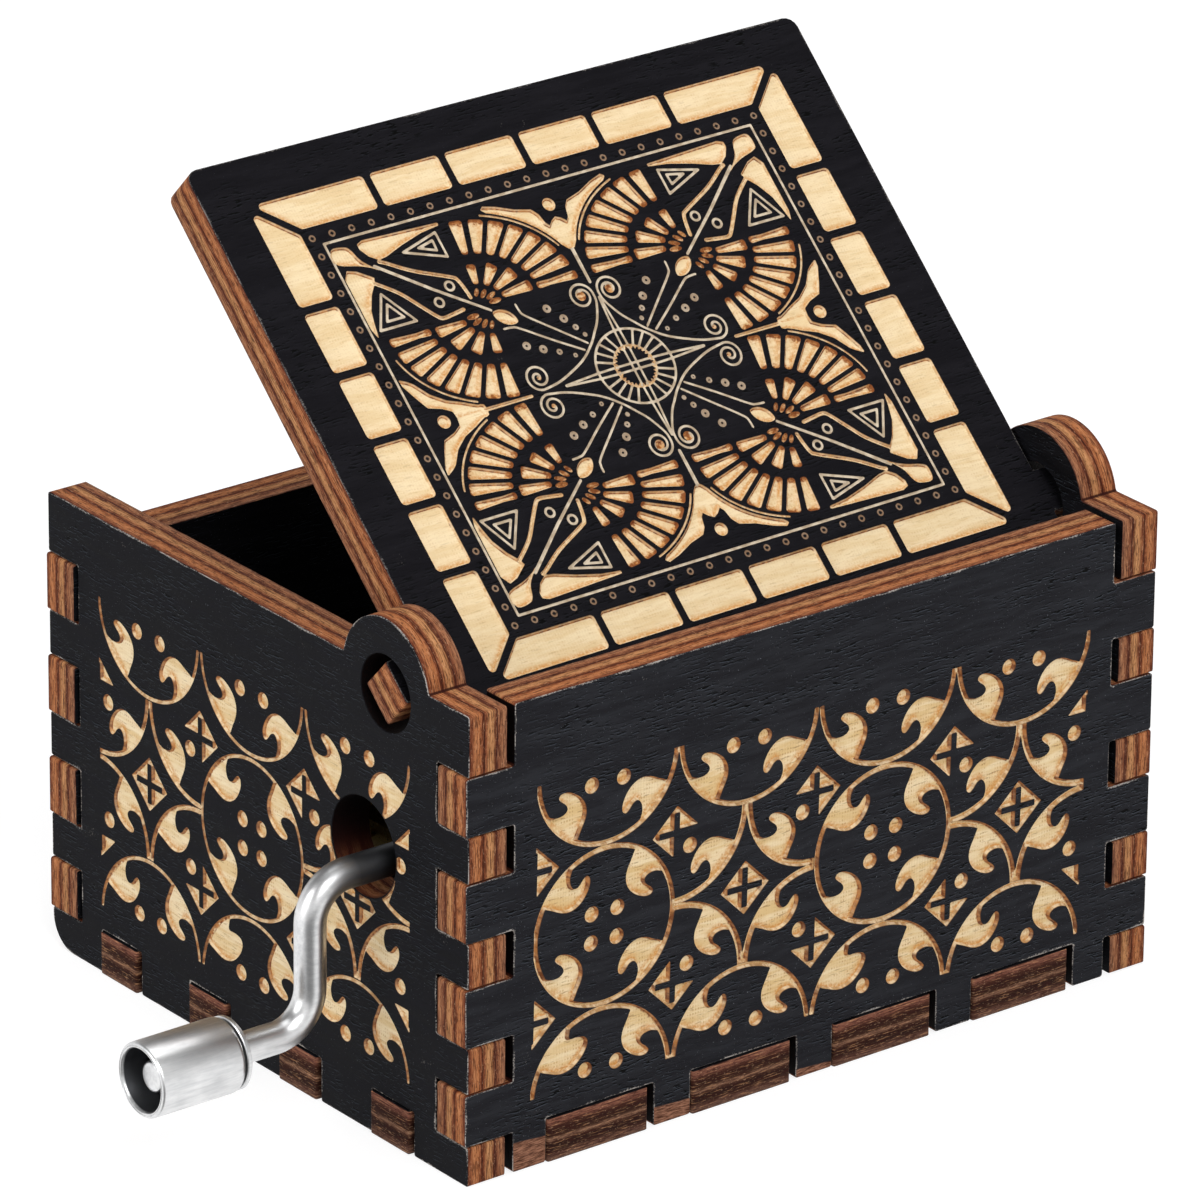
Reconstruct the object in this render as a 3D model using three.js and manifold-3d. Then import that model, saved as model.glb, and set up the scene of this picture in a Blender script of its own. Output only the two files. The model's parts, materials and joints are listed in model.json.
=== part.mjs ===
// Hand crank music box: a finger-jointed plywood box whose lid turns on its own wooden tenons,
// with a pinned drum and comb movement screwed inside, driven by a bent wire crank.
// Millimetres, +Z up. The origin is the middle of the underside. X runs along the long sides.
// The crank leaves through the -X end and the lid is hinged beside the -Y long side.

import * as THREE from 'three';
import { mergeVertices } from 'three/addons/utils/BufferGeometryUtils.js';
import Module from 'manifold-3d';

const wasm = await Module();
wasm.setup();

// Box
const BOX_LENGTH = 64;
const BOX_DEPTH = 52;
const WALL_HEIGHT = 37;
const PLY = 3.4;
const KERF = 0.1; // air left beside a finger by the saw
const TAB_PROUD = 0.2; // a tab's end stands this far out of the face it comes through
const PLAIN_END_SHY = 0.05; // but the long panels' tabs stop short of the plain end's face

// Corner joints: four tabs of the long panels pass through notches in the end panels
const CORNER_TAB_ROWS = 4;
const CORNER_TAB = 4.55;
const LOWEST_TAB = 4.05;
const FOOT_FINGER = 3.2;
const TOP_FINGER = 4.85;
const LONG_NOTCH_RELIEF = 0.7; // air behind an end panel's finger
const END_NOTCH_RELIEF = 0.4; // air behind a long panel's tab
const FOOT_ROUND = 2.6;

// Base joints: tabs of the base pass through slots along the lower edges of all four walls
const BASE_TABS_PER_SIDE = 4;
const LONG_SLOT_BRIDGE = 3.4; // wood left between two slots
const LONG_SLOT_MARGIN = 7.1;
const LONG_TAB_PLAY = 0.7;
const END_SLOT_BRIDGE = 6.25;
const END_SLOT_MARGIN = 6.42;
const END_TAB_PLAY = 0.4;
const FLANK_GAP = 0.05;

// Lid and its pivots
const PIVOT_SETBACK = 9.9; // from the rear face
const PIVOT_DROP = 1.6; // below the top of the walls
const PIVOT_HOLE_DIAMETER = 5.95;
const EAR_RADIUS = 5.2;
const EAR_RISE = 0.6; // the ear's centre above the pivot
const TENON_WIDTH = 3.5;
const TENON_SHY = 0.1;
const LID_SIDE_GAP = 0.35;
const LID_FRONT_SHY = 0.1;
const LID_TAIL_GAP = 0.35;
const LID_SEAT_GAP = 0.4;
const LID_CORNER = 1;
const LID_OPEN_DEGREES = 43;

// Crank and knob
const CRANK_WIRE_DIAMETER = 2.38;
const CRANK_BEND_RADIUS = 3.2;
const CRANK_STANDOFF = 5.5; // from the end panel to the middle of the upright stretch
const CRANK_THROW = 11.32;
const CRANK_HANDLE_REACH = 7.1; // from the upright stretch to the collar
const CRANK_HOLE_DIAMETER = 7.76;
const CRANK_HOLE_ASIDE = 0.97; // the hole's centre from the shaft, along Y
const CRANK_HOLE_ABOVE = 1.13;
const COLLAR_DIAMETER = 5.6;
const COLLAR_WIDTH = 0.4;
const COLLAR_GAP = 0.2; // the dark line between the collar and the knob
const KNOB_DIAMETER = 5.72;
const KNOB_LENGTH = 7.3;
const KNOB_EDGE_ROUND = 0.3;
const KNOB_RECESS_DIAMETER = 4.75;
const KNOB_RECESS_DEPTH = 3;
const WIRE_END_SUNK = 0.9; // the wire stops this far inside the knob's mouth
const WASHER_DIAMETER = 4.1;
const WASHER_THICKNESS = 0.5;
const RUN_GAP = 0.3; // between a turning piece and what carries it
const SEAT_GAP = 0.3; // between a fixed piece and the bore that it fills

// Movement: worm, gear, drum and comb
const BEDPLATE_THICKNESS = 2.2;
const BEDPLATE_MARGIN = 1.5;
const BEDPLATE_CORNER = 2;
const BEDPLATE_END_GAP = 5.1; // from the bedplate to the inside of the plain end
const BEDPLATE_FRONT_GAP = 3.85; // and to the inside of the front panel
const DRUM_INSET = 18.6; // the drum's axis from the inside of the crank end
const SHAFT_INSET = 8.2; // the crank shaft from the inside of the rear panel
const DRUM_RADIUS = 6.5;
const DRUM_MARGIN = 1; // plain drum beyond the outermost tooth
const DRUM_FLOOR_GAP = 0.5;
const PIN_HEIGHT = 0.5;
const PIN_WIDTH = 0.4;
const PIN_ROOT = 0.5;
const PIN_STEPS = 36;
const ARBOR_DIAMETER = 1.8;
const ARBOR_END = 0.5;
const GEAR_TEETH = 28;
const GEAR_WIDTH = 1.8;
const GEAR_HUB_RADIUS = 2.6;
const GEAR_HUB_LENGTH = 1;
const WORM_PITCH = 1.346;
const WORM_PITCH_RADIUS = 2.2;
const WORM_LENGTH = 9;
const TOOTH_ABOVE_PITCH = 0.35;
const TOOTH_BELOW_PITCH = 0.65;
const TOOTH_ROOT_WIDTH = 0.55;
const TOOTH_CREST_WIDTH = 0.28;
const SHAFT_DIAMETER = 1.8;
const SHAFT_END = 1;
const SOCKET_DIAMETER = 4.4;
const SOCKET_LENGTH = 5.2;
const SOCKET_DEPTH = 4;
const SOCKET_GAP = 0.9; // from the outer worm bracket
const RING_DIAMETER = 4;
const RING_WIDTH = 0.6;
const RING_MOUTH_DEGREES = 60;
const COMB_TEETH = 18;
const COMB_SLOT = 0.3;
const COMB_THICKNESS = 1;
const COMB_HEEL = 9;
const SHORTEST_TOOTH_SHARE = 0.68; // of the longest
const COMB_TIP_GAP = 0.3;
const COMB_SEAT_SETBACK = 0.6;
const COMB_SCREW_INSET = 4;

// Brackets and screws of the movement
const WORM_BRACKET_THICKNESS = 1.8;
const WORM_BRACKET_HALF_WIDTH = 2.4;
const OUTER_BRACKET_CLEARANCE = 2.4; // from the pins to the outer worm bracket
const INNER_BRACKET_CLEARANCE = 3.6;
const DRUM_BRACKET_THICKNESS = 1.4;
const DRUM_BRACKET_HALF_WIDTH = 2.6;
const DRUM_END_GAP = 0.6;
const BRACKET_FOOT_LENGTH = 4;
const BRACKET_FOOT_THICKNESS = 1.3;
const BRACKET_SCREW_HEAD = 2.8;
const BRACKET_SCREW_HEAD_HEIGHT = 0.9;
const BRACKET_SCREW_SHANK = 1.4;
const BRACKET_SCREW_LENGTH = 3;
const COMB_SCREW_HEAD = 3.6;
const COMB_SCREW_HEAD_HEIGHT = 1.1;
const COMB_SCREW_SHANK = 1.8;
const COMB_SCREW_LENGTH = 5;
const FIXING_SCREW_HEAD = 4.2;
const FIXING_SCREW_HEAD_HEIGHT = 1.2;
const FIXING_SCREW_SUNK = 0.4;
const FIXING_SCREW_SHANK = 1.9;
const FIXING_SCREW_LENGTH = 3.6;
const FIXING_SCREW_INSET = 4;
const SCREW_SLOT_WIDTH_SHARE = 0.18;
const SCREW_SLOT_DEPTH_SHARE = 0.5;

// Roundness, in facets, and the overrun of a cutting shape past the face it cuts
const FINE_FACETS = 32;
const SMALL_FACETS = 16;
const CORNER_FACETS = 4;
const WIRE_FACETS = 12;
const WIRE_STEPS = 40;
const WORM_FACETS = 24;
const CUT_OVERRUN = 0.5;

// Places worked out from the sizes above
const endFaceX = BOX_LENGTH / 2;
const longFaceY = BOX_DEPTH / 2;
const insideX = endFaceX - PLY;
const insideY = longFaceY - PLY;
const pivotY = -longFaceY + PIVOT_SETBACK;
const pivotZ = WALL_HEIGHT - PIVOT_DROP;
const frontHeight = pivotZ - PLY / 2 - LID_SEAT_GAP;
const lidTail = Math.sqrt((pivotY + insideY - LID_TAIL_GAP) ** 2 - (PLY / 2) ** 2);
const lidReach = longFaceY - pivotY - LID_FRONT_SHY;

const bedTopZ = PLY + BEDPLATE_THICKNESS;
const pinCircle = DRUM_RADIUS + PIN_HEIGHT;
const gearPitchRadius = (GEAR_TEETH * WORM_PITCH) / (2 * Math.PI);
const drumX = -insideX + DRUM_INSET;
const drumZ = bedTopZ + pinCircle + DRUM_FLOOR_GAP;
const shaftY = -insideY + SHAFT_INSET;
const shaftZ = drumZ + gearPitchRadius + WORM_PITCH_RADIUS;

const outerBracketX = drumX - pinCircle - OUTER_BRACKET_CLEARANCE - WORM_BRACKET_THICKNESS;
const innerBracketX = drumX + pinCircle + INNER_BRACKET_CLEARANCE;
const rearBearingY = shaftY - GEAR_WIDTH / 2 - DRUM_END_GAP - DRUM_BRACKET_THICKNESS;
const footRoom = BRACKET_FOOT_LENGTH + BEDPLATE_MARGIN / 2;

const bedplate = {
  left: outerBracketX - footRoom,
  right: insideX - BEDPLATE_END_GAP,
  rear: rearBearingY - footRoom,
  front: insideY - BEDPLATE_FRONT_GAP,
};

const frontBearingY = bedplate.front - footRoom - DRUM_BRACKET_THICKNESS;
const drumRearY = shaftY + GEAR_WIDTH / 2 + GEAR_HUB_LENGTH;
const drumLength = frontBearingY - DRUM_END_GAP - drumRearY;
const combWidth = drumLength - 2 * DRUM_MARGIN;
const combPitch = combWidth / COMB_TEETH;
const combRearY = drumRearY + DRUM_MARGIN;
const combTipX = drumX + pinCircle + COMB_TIP_GAP;
const combHeelX = bedplate.right - BEDPLATE_MARGIN;
const longestTooth = combHeelX - COMB_HEEL - combTipX;

// Finishes
const finish = (color, roughness, metalness) =>
  new THREE.MeshStandardMaterial({ color, roughness, metalness });
const blackPly = finish('#26262a', 0.6, 0);
const baseWood = finish('#5a3426', 0.7, 0);
const satinSteel = finish('#b9babc', 0.35, 1);
const springSteel = finish('#8f9296', 0.3, 1);
const brass = finish('#b8923f', 0.35, 1);
const castZinc = finish('#85878a', 0.55, 1);
const whiteGear = finish('#e3dfd2', 0.5, 0);

// A closed geometry as a solid that can be cut and joined, and back again
function solidOf(geometry) {
  const plain = geometry.index ? geometry.clone() : geometry;
  plain.deleteAttribute('normal');
  plain.deleteAttribute('uv');
  const merged = mergeVertices(plain);
  const vertProperties = new Float32Array(merged.attributes.position.array);
  const triVerts = new Uint32Array(merged.index.array);
  return new wasm.Manifold(new wasm.Mesh({ numProp: 3, vertProperties, triVerts }));
}

function geometryOf(solid) {
  const mesh = solid.getMesh();
  const geometry = new THREE.BufferGeometry();
  geometry.setAttribute('position', new THREE.BufferAttribute(mesh.vertProperties, mesh.numProp));
  geometry.setIndex(new THREE.BufferAttribute(mesh.triVerts, 1));
  return geometry;
}

function join(first, ...others) {
  let solid = solidOf(first);
  for (const other of others) solid = solid.add(solidOf(other));
  return geometryOf(solid);
}

function cut(first, ...tools) {
  let solid = solidOf(first);
  for (const tool of tools) solid = solid.subtract(solidOf(tool));
  return geometryOf(solid);
}

// A flat outline raised along X, Y or Z. Along X its two directions become Y and Z, along Y
// they become X and Z, and it always fills the thickness above the given place. An arc of it
// is drawn with two facets for each curve segment.
function raise(shape, thickness, facets = SMALL_FACETS) {
  return new THREE.ExtrudeGeometry(shape, {
    depth: thickness,
    steps: 1,
    bevelEnabled: false,
    curveSegments: facets / 2,
  });
}

const X = new THREE.Vector3(1, 0, 0);
const Y = new THREE.Vector3(0, 1, 0);
const Z = new THREE.Vector3(0, 0, 1);
const turnToX = new THREE.Matrix4().makeBasis(Y, Z, X);
const turnToY = new THREE.Matrix4().makeBasis(X, Z, Y.clone().negate());

function raiseAlongX(shape, atX, thickness, facets) {
  return raise(shape, thickness, facets).applyMatrix4(turnToX).translate(atX, 0, 0);
}

function raiseAlongY(shape, atY, thickness, facets) {
  return raise(shape, thickness, facets).applyMatrix4(turnToY).translate(0, atY + thickness, 0);
}

function raiseAlongZ(shape, atZ, thickness, facets) {
  return raise(shape, thickness, facets).translate(0, 0, atZ);
}

// Round bars between two places on an axis
function barX(diameter, fromX, toX, y, z, facets = SMALL_FACETS) {
  const bar = new THREE.CylinderGeometry(diameter / 2, diameter / 2, toX - fromX, facets);
  return bar.rotateZ(-Math.PI / 2).translate((fromX + toX) / 2, y, z);
}

function barY(diameter, fromY, toY, x, z, facets = SMALL_FACETS) {
  const bar = new THREE.CylinderGeometry(diameter / 2, diameter / 2, toY - fromY, facets);
  return bar.translate(x, (fromY + toY) / 2, z);
}

function barZ(diameter, fromZ, toZ, x, y, facets = SMALL_FACETS) {
  const bar = new THREE.CylinderGeometry(diameter / 2, diameter / 2, toZ - fromZ, facets);
  return bar.rotateX(Math.PI / 2).translate(x, y, (fromZ + toZ) / 2);
}

function block(fromX, toX, fromY, toY, fromZ, toZ) {
  const box = new THREE.BoxGeometry(toX - fromX, toY - fromY, toZ - fromZ);
  return box.translate((fromX + toX) / 2, (fromY + toY) / 2, (fromZ + toZ) / 2);
}

function roundedRectangle(left, right, low, high, radius) {
  const shape = new THREE.Shape();
  shape.moveTo(left + radius, low);
  shape.lineTo(right - radius, low);
  shape.absarc(right - radius, low + radius, radius, -Math.PI / 2, 0);
  shape.lineTo(right, high - radius);
  shape.absarc(right - radius, high - radius, radius, 0, Math.PI / 2);
  shape.lineTo(left + radius, high);
  shape.absarc(left + radius, high - radius, radius, Math.PI / 2, Math.PI);
  shape.lineTo(left, low + radius);
  shape.absarc(left + radius, low + radius, radius, Math.PI, 1.5 * Math.PI);
  return shape;
}

// The four tabs at a corner, from the lowest up
function cornerTabs() {
  const lowestTop = FOOT_FINGER + LOWEST_TAB;
  const pitch = (WALL_HEIGHT - TOP_FINGER - lowestTop) / (CORNER_TAB_ROWS - 1);
  const tabs = [];
  for (let row = 0; row < CORNER_TAB_ROWS; row += 1) {
    const high = lowestTop + row * pitch;
    tabs.push({ low: row === 0 ? FOOT_FINGER : high - CORNER_TAB, high });
  }
  return tabs;
}

// The slots for the base along one wall, from low to high
function baseSlots(wallLength, bridge, margin) {
  const pitch = (wallLength - 2 * margin + bridge) / BASE_TABS_PER_SIDE;
  const slots = [];
  for (let i = 0; i < BASE_TABS_PER_SIDE; i += 1) {
    const low = -wallLength / 2 + margin + i * pitch;
    slots.push({ low, high: low + pitch - bridge });
  }
  return slots;
}

const longSlots = baseSlots(BOX_LENGTH, LONG_SLOT_BRIDGE, LONG_SLOT_MARGIN);
const endSlots = baseSlots(BOX_DEPTH, END_SLOT_BRIDGE, END_SLOT_MARGIN);
const slotTopZ = PLY + KERF;

function cutSlotsAlongFoot(shape, slots) {
  for (const { low, high } of slots) {
    shape.lineTo(low, 0);
    shape.lineTo(low, slotTopZ);
    shape.lineTo(high, slotTopZ);
    shape.lineTo(high, 0);
  }
}

// Long panel, in X and Z: tabs at both ends, slots along the foot
function longPanelShape(height) {
  const rootX = insideX - LONG_NOTCH_RELIEF;
  const crankTabX = -endFaceX - TAB_PROUD;
  const plainTabX = endFaceX - PLAIN_END_SHY;
  const shape = new THREE.Shape();
  shape.moveTo(-rootX, 0);
  cutSlotsAlongFoot(shape, longSlots);
  shape.lineTo(rootX, 0);
  const tabs = cornerTabs();
  for (const { low, high } of tabs) {
    shape.lineTo(rootX, low);
    shape.lineTo(plainTabX, low);
    shape.lineTo(plainTabX, high);
    shape.lineTo(rootX, high);
  }
  shape.lineTo(rootX, height);
  shape.lineTo(-rootX, height);
  for (const { low, high } of tabs.reverse()) {
    shape.lineTo(-rootX, high);
    shape.lineTo(crankTabX, high);
    shape.lineTo(crankTabX, low);
    shape.lineTo(-rootX, low);
  }
  return shape;
}

// End panel, in Y and Z: notches at both sides, slots along the foot, an ear with the pivot hole
function endPanelShape() {
  const notchY = insideY - END_NOTCH_RELIEF;
  const earZ = pivotZ + EAR_RISE;
  const earStart = Math.asin((WALL_HEIGHT - earZ) / EAR_RADIUS);
  const shape = new THREE.Shape();
  shape.moveTo(-longFaceY, 0);
  cutSlotsAlongFoot(shape, endSlots);
  shape.lineTo(longFaceY - FOOT_ROUND, 0);
  shape.absarc(longFaceY - FOOT_ROUND, FOOT_ROUND, FOOT_ROUND, -Math.PI / 2, 0);
  const tabs = cornerTabs();
  for (const { low, high } of tabs) {
    shape.lineTo(longFaceY, low - KERF);
    shape.lineTo(notchY, low - KERF);
    shape.lineTo(notchY, high + KERF);
    shape.lineTo(longFaceY, high + KERF);
  }
  shape.lineTo(longFaceY, WALL_HEIGHT);
  shape.absarc(pivotY, earZ, EAR_RADIUS, earStart, Math.PI - earStart);
  shape.lineTo(-longFaceY, WALL_HEIGHT);
  for (const { low, high } of tabs.reverse()) {
    shape.lineTo(-longFaceY, high + KERF);
    shape.lineTo(-notchY, high + KERF);
    shape.lineTo(-notchY, low - KERF);
    shape.lineTo(-longFaceY, low - KERF);
  }
  shape.holes.push(roundHole(pivotY, pivotZ, PIVOT_HOLE_DIAMETER));
  return shape;
}

function roundHole(across, along, diameter) {
  return new THREE.Path().absarc(across, along, diameter / 2, 0, 2 * Math.PI, true);
}

// Base panel, in X and Y: a plate between the walls with tabs through all four
function basePanelShape() {
  const plateX = insideX - KERF;
  const plateY = insideY - KERF;
  const tabX = endFaceX + TAB_PROUD;
  const tabY = longFaceY + TAB_PROUD;
  const longTabs = longSlots.map(({ low, high }) => [low + FLANK_GAP, high - LONG_TAB_PLAY]);
  const endTabs = endSlots.map(({ low, high }) => [low + END_TAB_PLAY, high - FLANK_GAP]);
  const shape = new THREE.Shape();
  shape.moveTo(-plateX, -plateY);
  for (const [low, high] of longTabs) {
    shape.lineTo(low, -plateY);
    shape.lineTo(low, -tabY);
    shape.lineTo(high, -tabY);
    shape.lineTo(high, -plateY);
  }
  shape.lineTo(plateX, -plateY);
  for (const [low, high] of endTabs) {
    shape.lineTo(plateX, low);
    shape.lineTo(tabX, low);
    shape.lineTo(tabX, high);
    shape.lineTo(plateX, high);
  }
  shape.lineTo(plateX, plateY);
  for (const [low, high] of longTabs.reverse()) {
    shape.lineTo(high, plateY);
    shape.lineTo(high, tabY);
    shape.lineTo(low, tabY);
    shape.lineTo(low, plateY);
  }
  shape.lineTo(-plateX, plateY);
  for (const [low, high] of endTabs.reverse()) {
    shape.lineTo(-plateX, high);
    shape.lineTo(-tabX, high);
    shape.lineTo(-tabX, low);
    shape.lineTo(-plateX, low);
  }
  return shape;
}

// Places of the three screws that hold the movement to the base
const fixingScrews = [
  { name: 'fixing_screw_crank_side', x: bedplate.left, y: bedplate.front },
  { name: 'fixing_screw_rear', x: bedplate.right, y: bedplate.rear },
  { name: 'fixing_screw_front', x: bedplate.right, y: bedplate.front },
].map(({ name, x, y }) => ({
  name,
  x: x - Math.sign(x) * FIXING_SCREW_INSET,
  y: y - Math.sign(y) * FIXING_SCREW_INSET,
}));
const fixingSeatZ = FIXING_SCREW_SUNK + FIXING_SCREW_HEAD_HEIGHT;

function basePanel() {
  const tools = fixingScrews.flatMap(({ x, y }) => [
    barZ(FIXING_SCREW_HEAD + 2 * SEAT_GAP, -CUT_OVERRUN, fixingSeatZ, x, y),
    barZ(FIXING_SCREW_SHANK + 2 * SEAT_GAP, -CUT_OVERRUN, PLY + CUT_OVERRUN, x, y),
  ]);
  return cut(raiseAlongZ(basePanelShape(), 0, PLY), ...tools);
}

// Lid, in its own frame: X across, Y out from the pivot line, Z up through its thickness
function lidShape() {
  const halfWidth = insideX - LID_SIDE_GAP;
  const tenonX = endFaceX - TENON_SHY;
  const shape = new THREE.Shape();
  shape.moveTo(-halfWidth + LID_CORNER, -lidTail);
  shape.lineTo(halfWidth - LID_CORNER, -lidTail);
  shape.absarc(halfWidth - LID_CORNER, -lidTail + LID_CORNER, LID_CORNER, -Math.PI / 2, 0);
  shape.lineTo(halfWidth, -TENON_WIDTH / 2);
  shape.lineTo(tenonX, -TENON_WIDTH / 2);
  shape.lineTo(tenonX, TENON_WIDTH / 2);
  shape.lineTo(halfWidth, TENON_WIDTH / 2);
  shape.absarc(halfWidth - LID_CORNER, lidReach - LID_CORNER, LID_CORNER, 0, Math.PI / 2);
  shape.absarc(-halfWidth + LID_CORNER, lidReach - LID_CORNER, LID_CORNER, Math.PI / 2, Math.PI);
  shape.lineTo(-halfWidth, TENON_WIDTH / 2);
  shape.lineTo(-tenonX, TENON_WIDTH / 2);
  shape.lineTo(-tenonX, -TENON_WIDTH / 2);
  shape.lineTo(-halfWidth, -TENON_WIDTH / 2);
  const tailCorner = -lidTail + LID_CORNER;
  shape.absarc(-halfWidth + LID_CORNER, tailCorner, LID_CORNER, Math.PI, 1.5 * Math.PI);
  return shape;
}

// A slotted screw whose head sits on z = 0 and whose shank runs down
function slottedScrew(head, headHeight, shank, length) {
  const slotDepth = headHeight * SCREW_SLOT_DEPTH_SHARE;
  const slotHalf = (head * SCREW_SLOT_WIDTH_SHARE) / 2;
  const body = join(barZ(head, 0, headHeight, 0, 0), barZ(shank, -length, CUT_OVERRUN, 0, 0));
  const slotTop = headHeight + CUT_OVERRUN;
  return cut(body, block(-head, head, -slotHalf, slotHalf, headHeight - slotDepth, slotTop));
}

// Crank wire: in from the shaft's socket, round two bends and out through the knob
class Bend extends THREE.Curve {
  constructor(centre, radius, startAngle, sweep) {
    super();
    Object.assign(this, { centre, radius, startAngle, sweep });
  }

  getPoint(t, target = new THREE.Vector3()) {
    const angle = this.startAngle + t * this.sweep;
    const offset = new THREE.Vector3(Math.cos(angle), 0, Math.sin(angle));
    return target.copy(this.centre).addScaledVector(offset, this.radius);
  }
}

const socketOuterX = outerBracketX - SOCKET_GAP - SOCKET_LENGTH;
const wireInnerX = socketOuterX + SOCKET_DEPTH;
const uprightX = -endFaceX - CRANK_STANDOFF;
const handleZ = shaftZ - CRANK_THROW;
const collarInnerX = uprightX - CRANK_HANDLE_REACH;
const collarOuterX = collarInnerX - COLLAR_WIDTH;
const knobInnerX = collarOuterX - COLLAR_GAP;
const knobOuterX = knobInnerX - KNOB_LENGTH;
const recessFloorX = knobOuterX + KNOB_RECESS_DEPTH;
const wireOuterX = knobOuterX + WIRE_END_SUNK;

function crankArm() {
  const at = (x, z) => new THREE.Vector3(x, shaftY, z);
  const bend = CRANK_BEND_RADIUS;
  const route = new THREE.CurvePath();
  route.add(new THREE.LineCurve3(at(wireInnerX, shaftZ), at(uprightX + bend, shaftZ)));
  route.add(new Bend(at(uprightX + bend, shaftZ - bend), bend, Math.PI / 2, Math.PI / 2));
  route.add(new THREE.LineCurve3(at(uprightX, shaftZ - bend), at(uprightX, handleZ + bend)));
  route.add(new Bend(at(uprightX - bend, handleZ + bend), bend, 0, -Math.PI / 2));
  route.add(new THREE.LineCurve3(at(uprightX - bend, handleZ), at(wireOuterX, handleZ)));
  const section = new THREE.Shape().absarc(0, 0, CRANK_WIRE_DIAMETER / 2, 0, 2 * Math.PI);
  return new THREE.ExtrudeGeometry(section, {
    steps: WIRE_STEPS,
    curveSegments: WIRE_FACETS / 2,
    bevelEnabled: false,
    extrudePath: route,
  });
}

// A turned piece on the handle's axis: its closed profile is a list of radius and X
function turnedOnHandle(profile) {
  const points = profile.map(([radius, x]) => new THREE.Vector2(radius, x));
  points.push(points[0].clone());
  const turned = new THREE.LatheGeometry(points, FINE_FACETS);
  return turned.rotateZ(-Math.PI / 2).translate(0, shaftY, handleZ);
}

function knob() {
  const radius = KNOB_DIAMETER / 2;
  const bore = CRANK_WIRE_DIAMETER / 2 + RUN_GAP;
  const recess = KNOB_RECESS_DIAMETER / 2;
  return turnedOnHandle([
    [recess, knobOuterX],
    [radius - KNOB_EDGE_ROUND, knobOuterX],
    [radius, knobOuterX + KNOB_EDGE_ROUND],
    [radius, knobInnerX - KNOB_EDGE_ROUND],
    [radius - KNOB_EDGE_ROUND, knobInnerX],
    [bore, knobInnerX],
    [bore, recessFloorX],
    [recess, recessFloorX],
  ]);
}

// A plain ring on the handle, at the knob's inner end or in its recess
function ringOnHandle(diameter, fromX, toX) {
  const bore = CRANK_WIRE_DIAMETER / 2 + SEAT_GAP;
  return turnedOnHandle([
    [bore, fromX],
    [diameter / 2, fromX],
    [diameter / 2, toX],
    [bore, toX],
  ]);
}

// Worm: one right-handed thread on a core, as a strip wound round the axis and trimmed square.
// Its grid has the facets round the axis and four stations per turn along the thread's profile.
function wormThread() {
  const crest = WORM_PITCH_RADIUS + TOOTH_ABOVE_PITCH;
  const root = WORM_PITCH_RADIUS - TOOTH_BELOW_PITCH;
  const rootShare = TOOTH_ROOT_WIDTH / WORM_PITCH / 2;
  const crestShare = TOOTH_CREST_WIDTH / WORM_PITCH / 2;
  const stations = [
    { share: -rootShare, radius: root },
    { share: -crestShare, radius: crest },
    { share: crestShare, radius: crest },
    { share: rootShare, radius: root },
  ];
  const perTurn = stations.length;
  const turnsEachWay = Math.ceil(WORM_LENGTH / WORM_PITCH / 2) + 2;
  const lowerQuarter = 3 / 4; // the thread crosses the drum's axis plane facing down
  const positions = [];
  const columns = WORM_FACETS + 1;
  for (let turn = -turnsEachWay; turn < turnsEachWay; turn += 1) {
    for (const { share, radius } of stations) {
      for (let column = 0; column < columns; column += 1) {
        const angle = (2 * Math.PI * column) / WORM_FACETS;
        const turns = turn + share + column / WORM_FACETS - lowerQuarter;
        positions.push(
          drumX + WORM_PITCH * turns,
          shaftY + radius * Math.cos(angle),
          shaftZ + radius * Math.sin(angle),
        );
      }
    }
  }
  const rows = 2 * turnsEachWay * perTurn;
  const at = (row, column) => row * columns + column;
  const startPoint = rows * columns;
  const endPoint = startPoint + 1;
  const overrun = (turnsEachWay + 2) * WORM_PITCH;
  positions.push(drumX - overrun, shaftY, shaftZ, drumX + overrun, shaftY, shaftZ);
  const faces = [];
  for (let column = 0; column < WORM_FACETS; column += 1) {
    for (let row = 0; row < rows - 1; row += 1) {
      faces.push(at(row, column), at(row, column + 1), at(row + 1, column + 1));
      faces.push(at(row, column), at(row + 1, column + 1), at(row + 1, column));
    }
    faces.push(startPoint, at(0, column + 1), at(0, column));
    faces.push(endPoint, at(rows - 1, column), at(rows - 1, column + 1));
  }
  for (let row = 0; row < perTurn; row += 1) {
    const last = rows - 1 - row;
    faces.push(startPoint, at(row, 0), at(row + 1, 0));
    faces.push(endPoint, at(last, WORM_FACETS), at(last - 1, WORM_FACETS));
  }
  const strip = new THREE.BufferGeometry();
  strip.setAttribute('position', new THREE.Float32BufferAttribute(positions, 3));
  strip.setIndex(faces);
  return strip;
}

function worm() {
  const fromX = drumX - WORM_LENGTH / 2;
  const toX = drumX + WORM_LENGTH / 2;
  const outside = 2 * (WORM_PITCH_RADIUS + TOOTH_ABOVE_PITCH + CUT_OVERRUN);
  const length = barX(outside, fromX, toX, shaftY, shaftZ);
  const bore = SHAFT_DIAMETER + 2 * SEAT_GAP;
  const boreTool = barX(bore, fromX - CUT_OVERRUN, toX + CUT_OVERRUN, shaftY, shaftZ);
  const threaded = solidOf(wormThread()).intersect(solidOf(length));
  return geometryOf(threaded.subtract(solidOf(boreTool)));
}

const ringInnerX = innerBracketX + WORM_BRACKET_THICKNESS + RUN_GAP;

function wormShaft() {
  const innerX = ringInnerX + RING_WIDTH + SHAFT_END;
  const socketInnerX = outerBracketX - SOCKET_GAP;
  const socket = barX(SOCKET_DIAMETER, socketOuterX, socketInnerX, shaftY, shaftZ);
  const rod = barX(SHAFT_DIAMETER, socketInnerX - CUT_OVERRUN, innerX, shaftY, shaftZ);
  const bore = CRANK_WIRE_DIAMETER + 2 * SEAT_GAP;
  const boreTool = barX(bore, socketOuterX - CUT_OVERRUN, wireInnerX, shaftY, shaftZ);
  return cut(join(socket, rod), boreTool);
}

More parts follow.
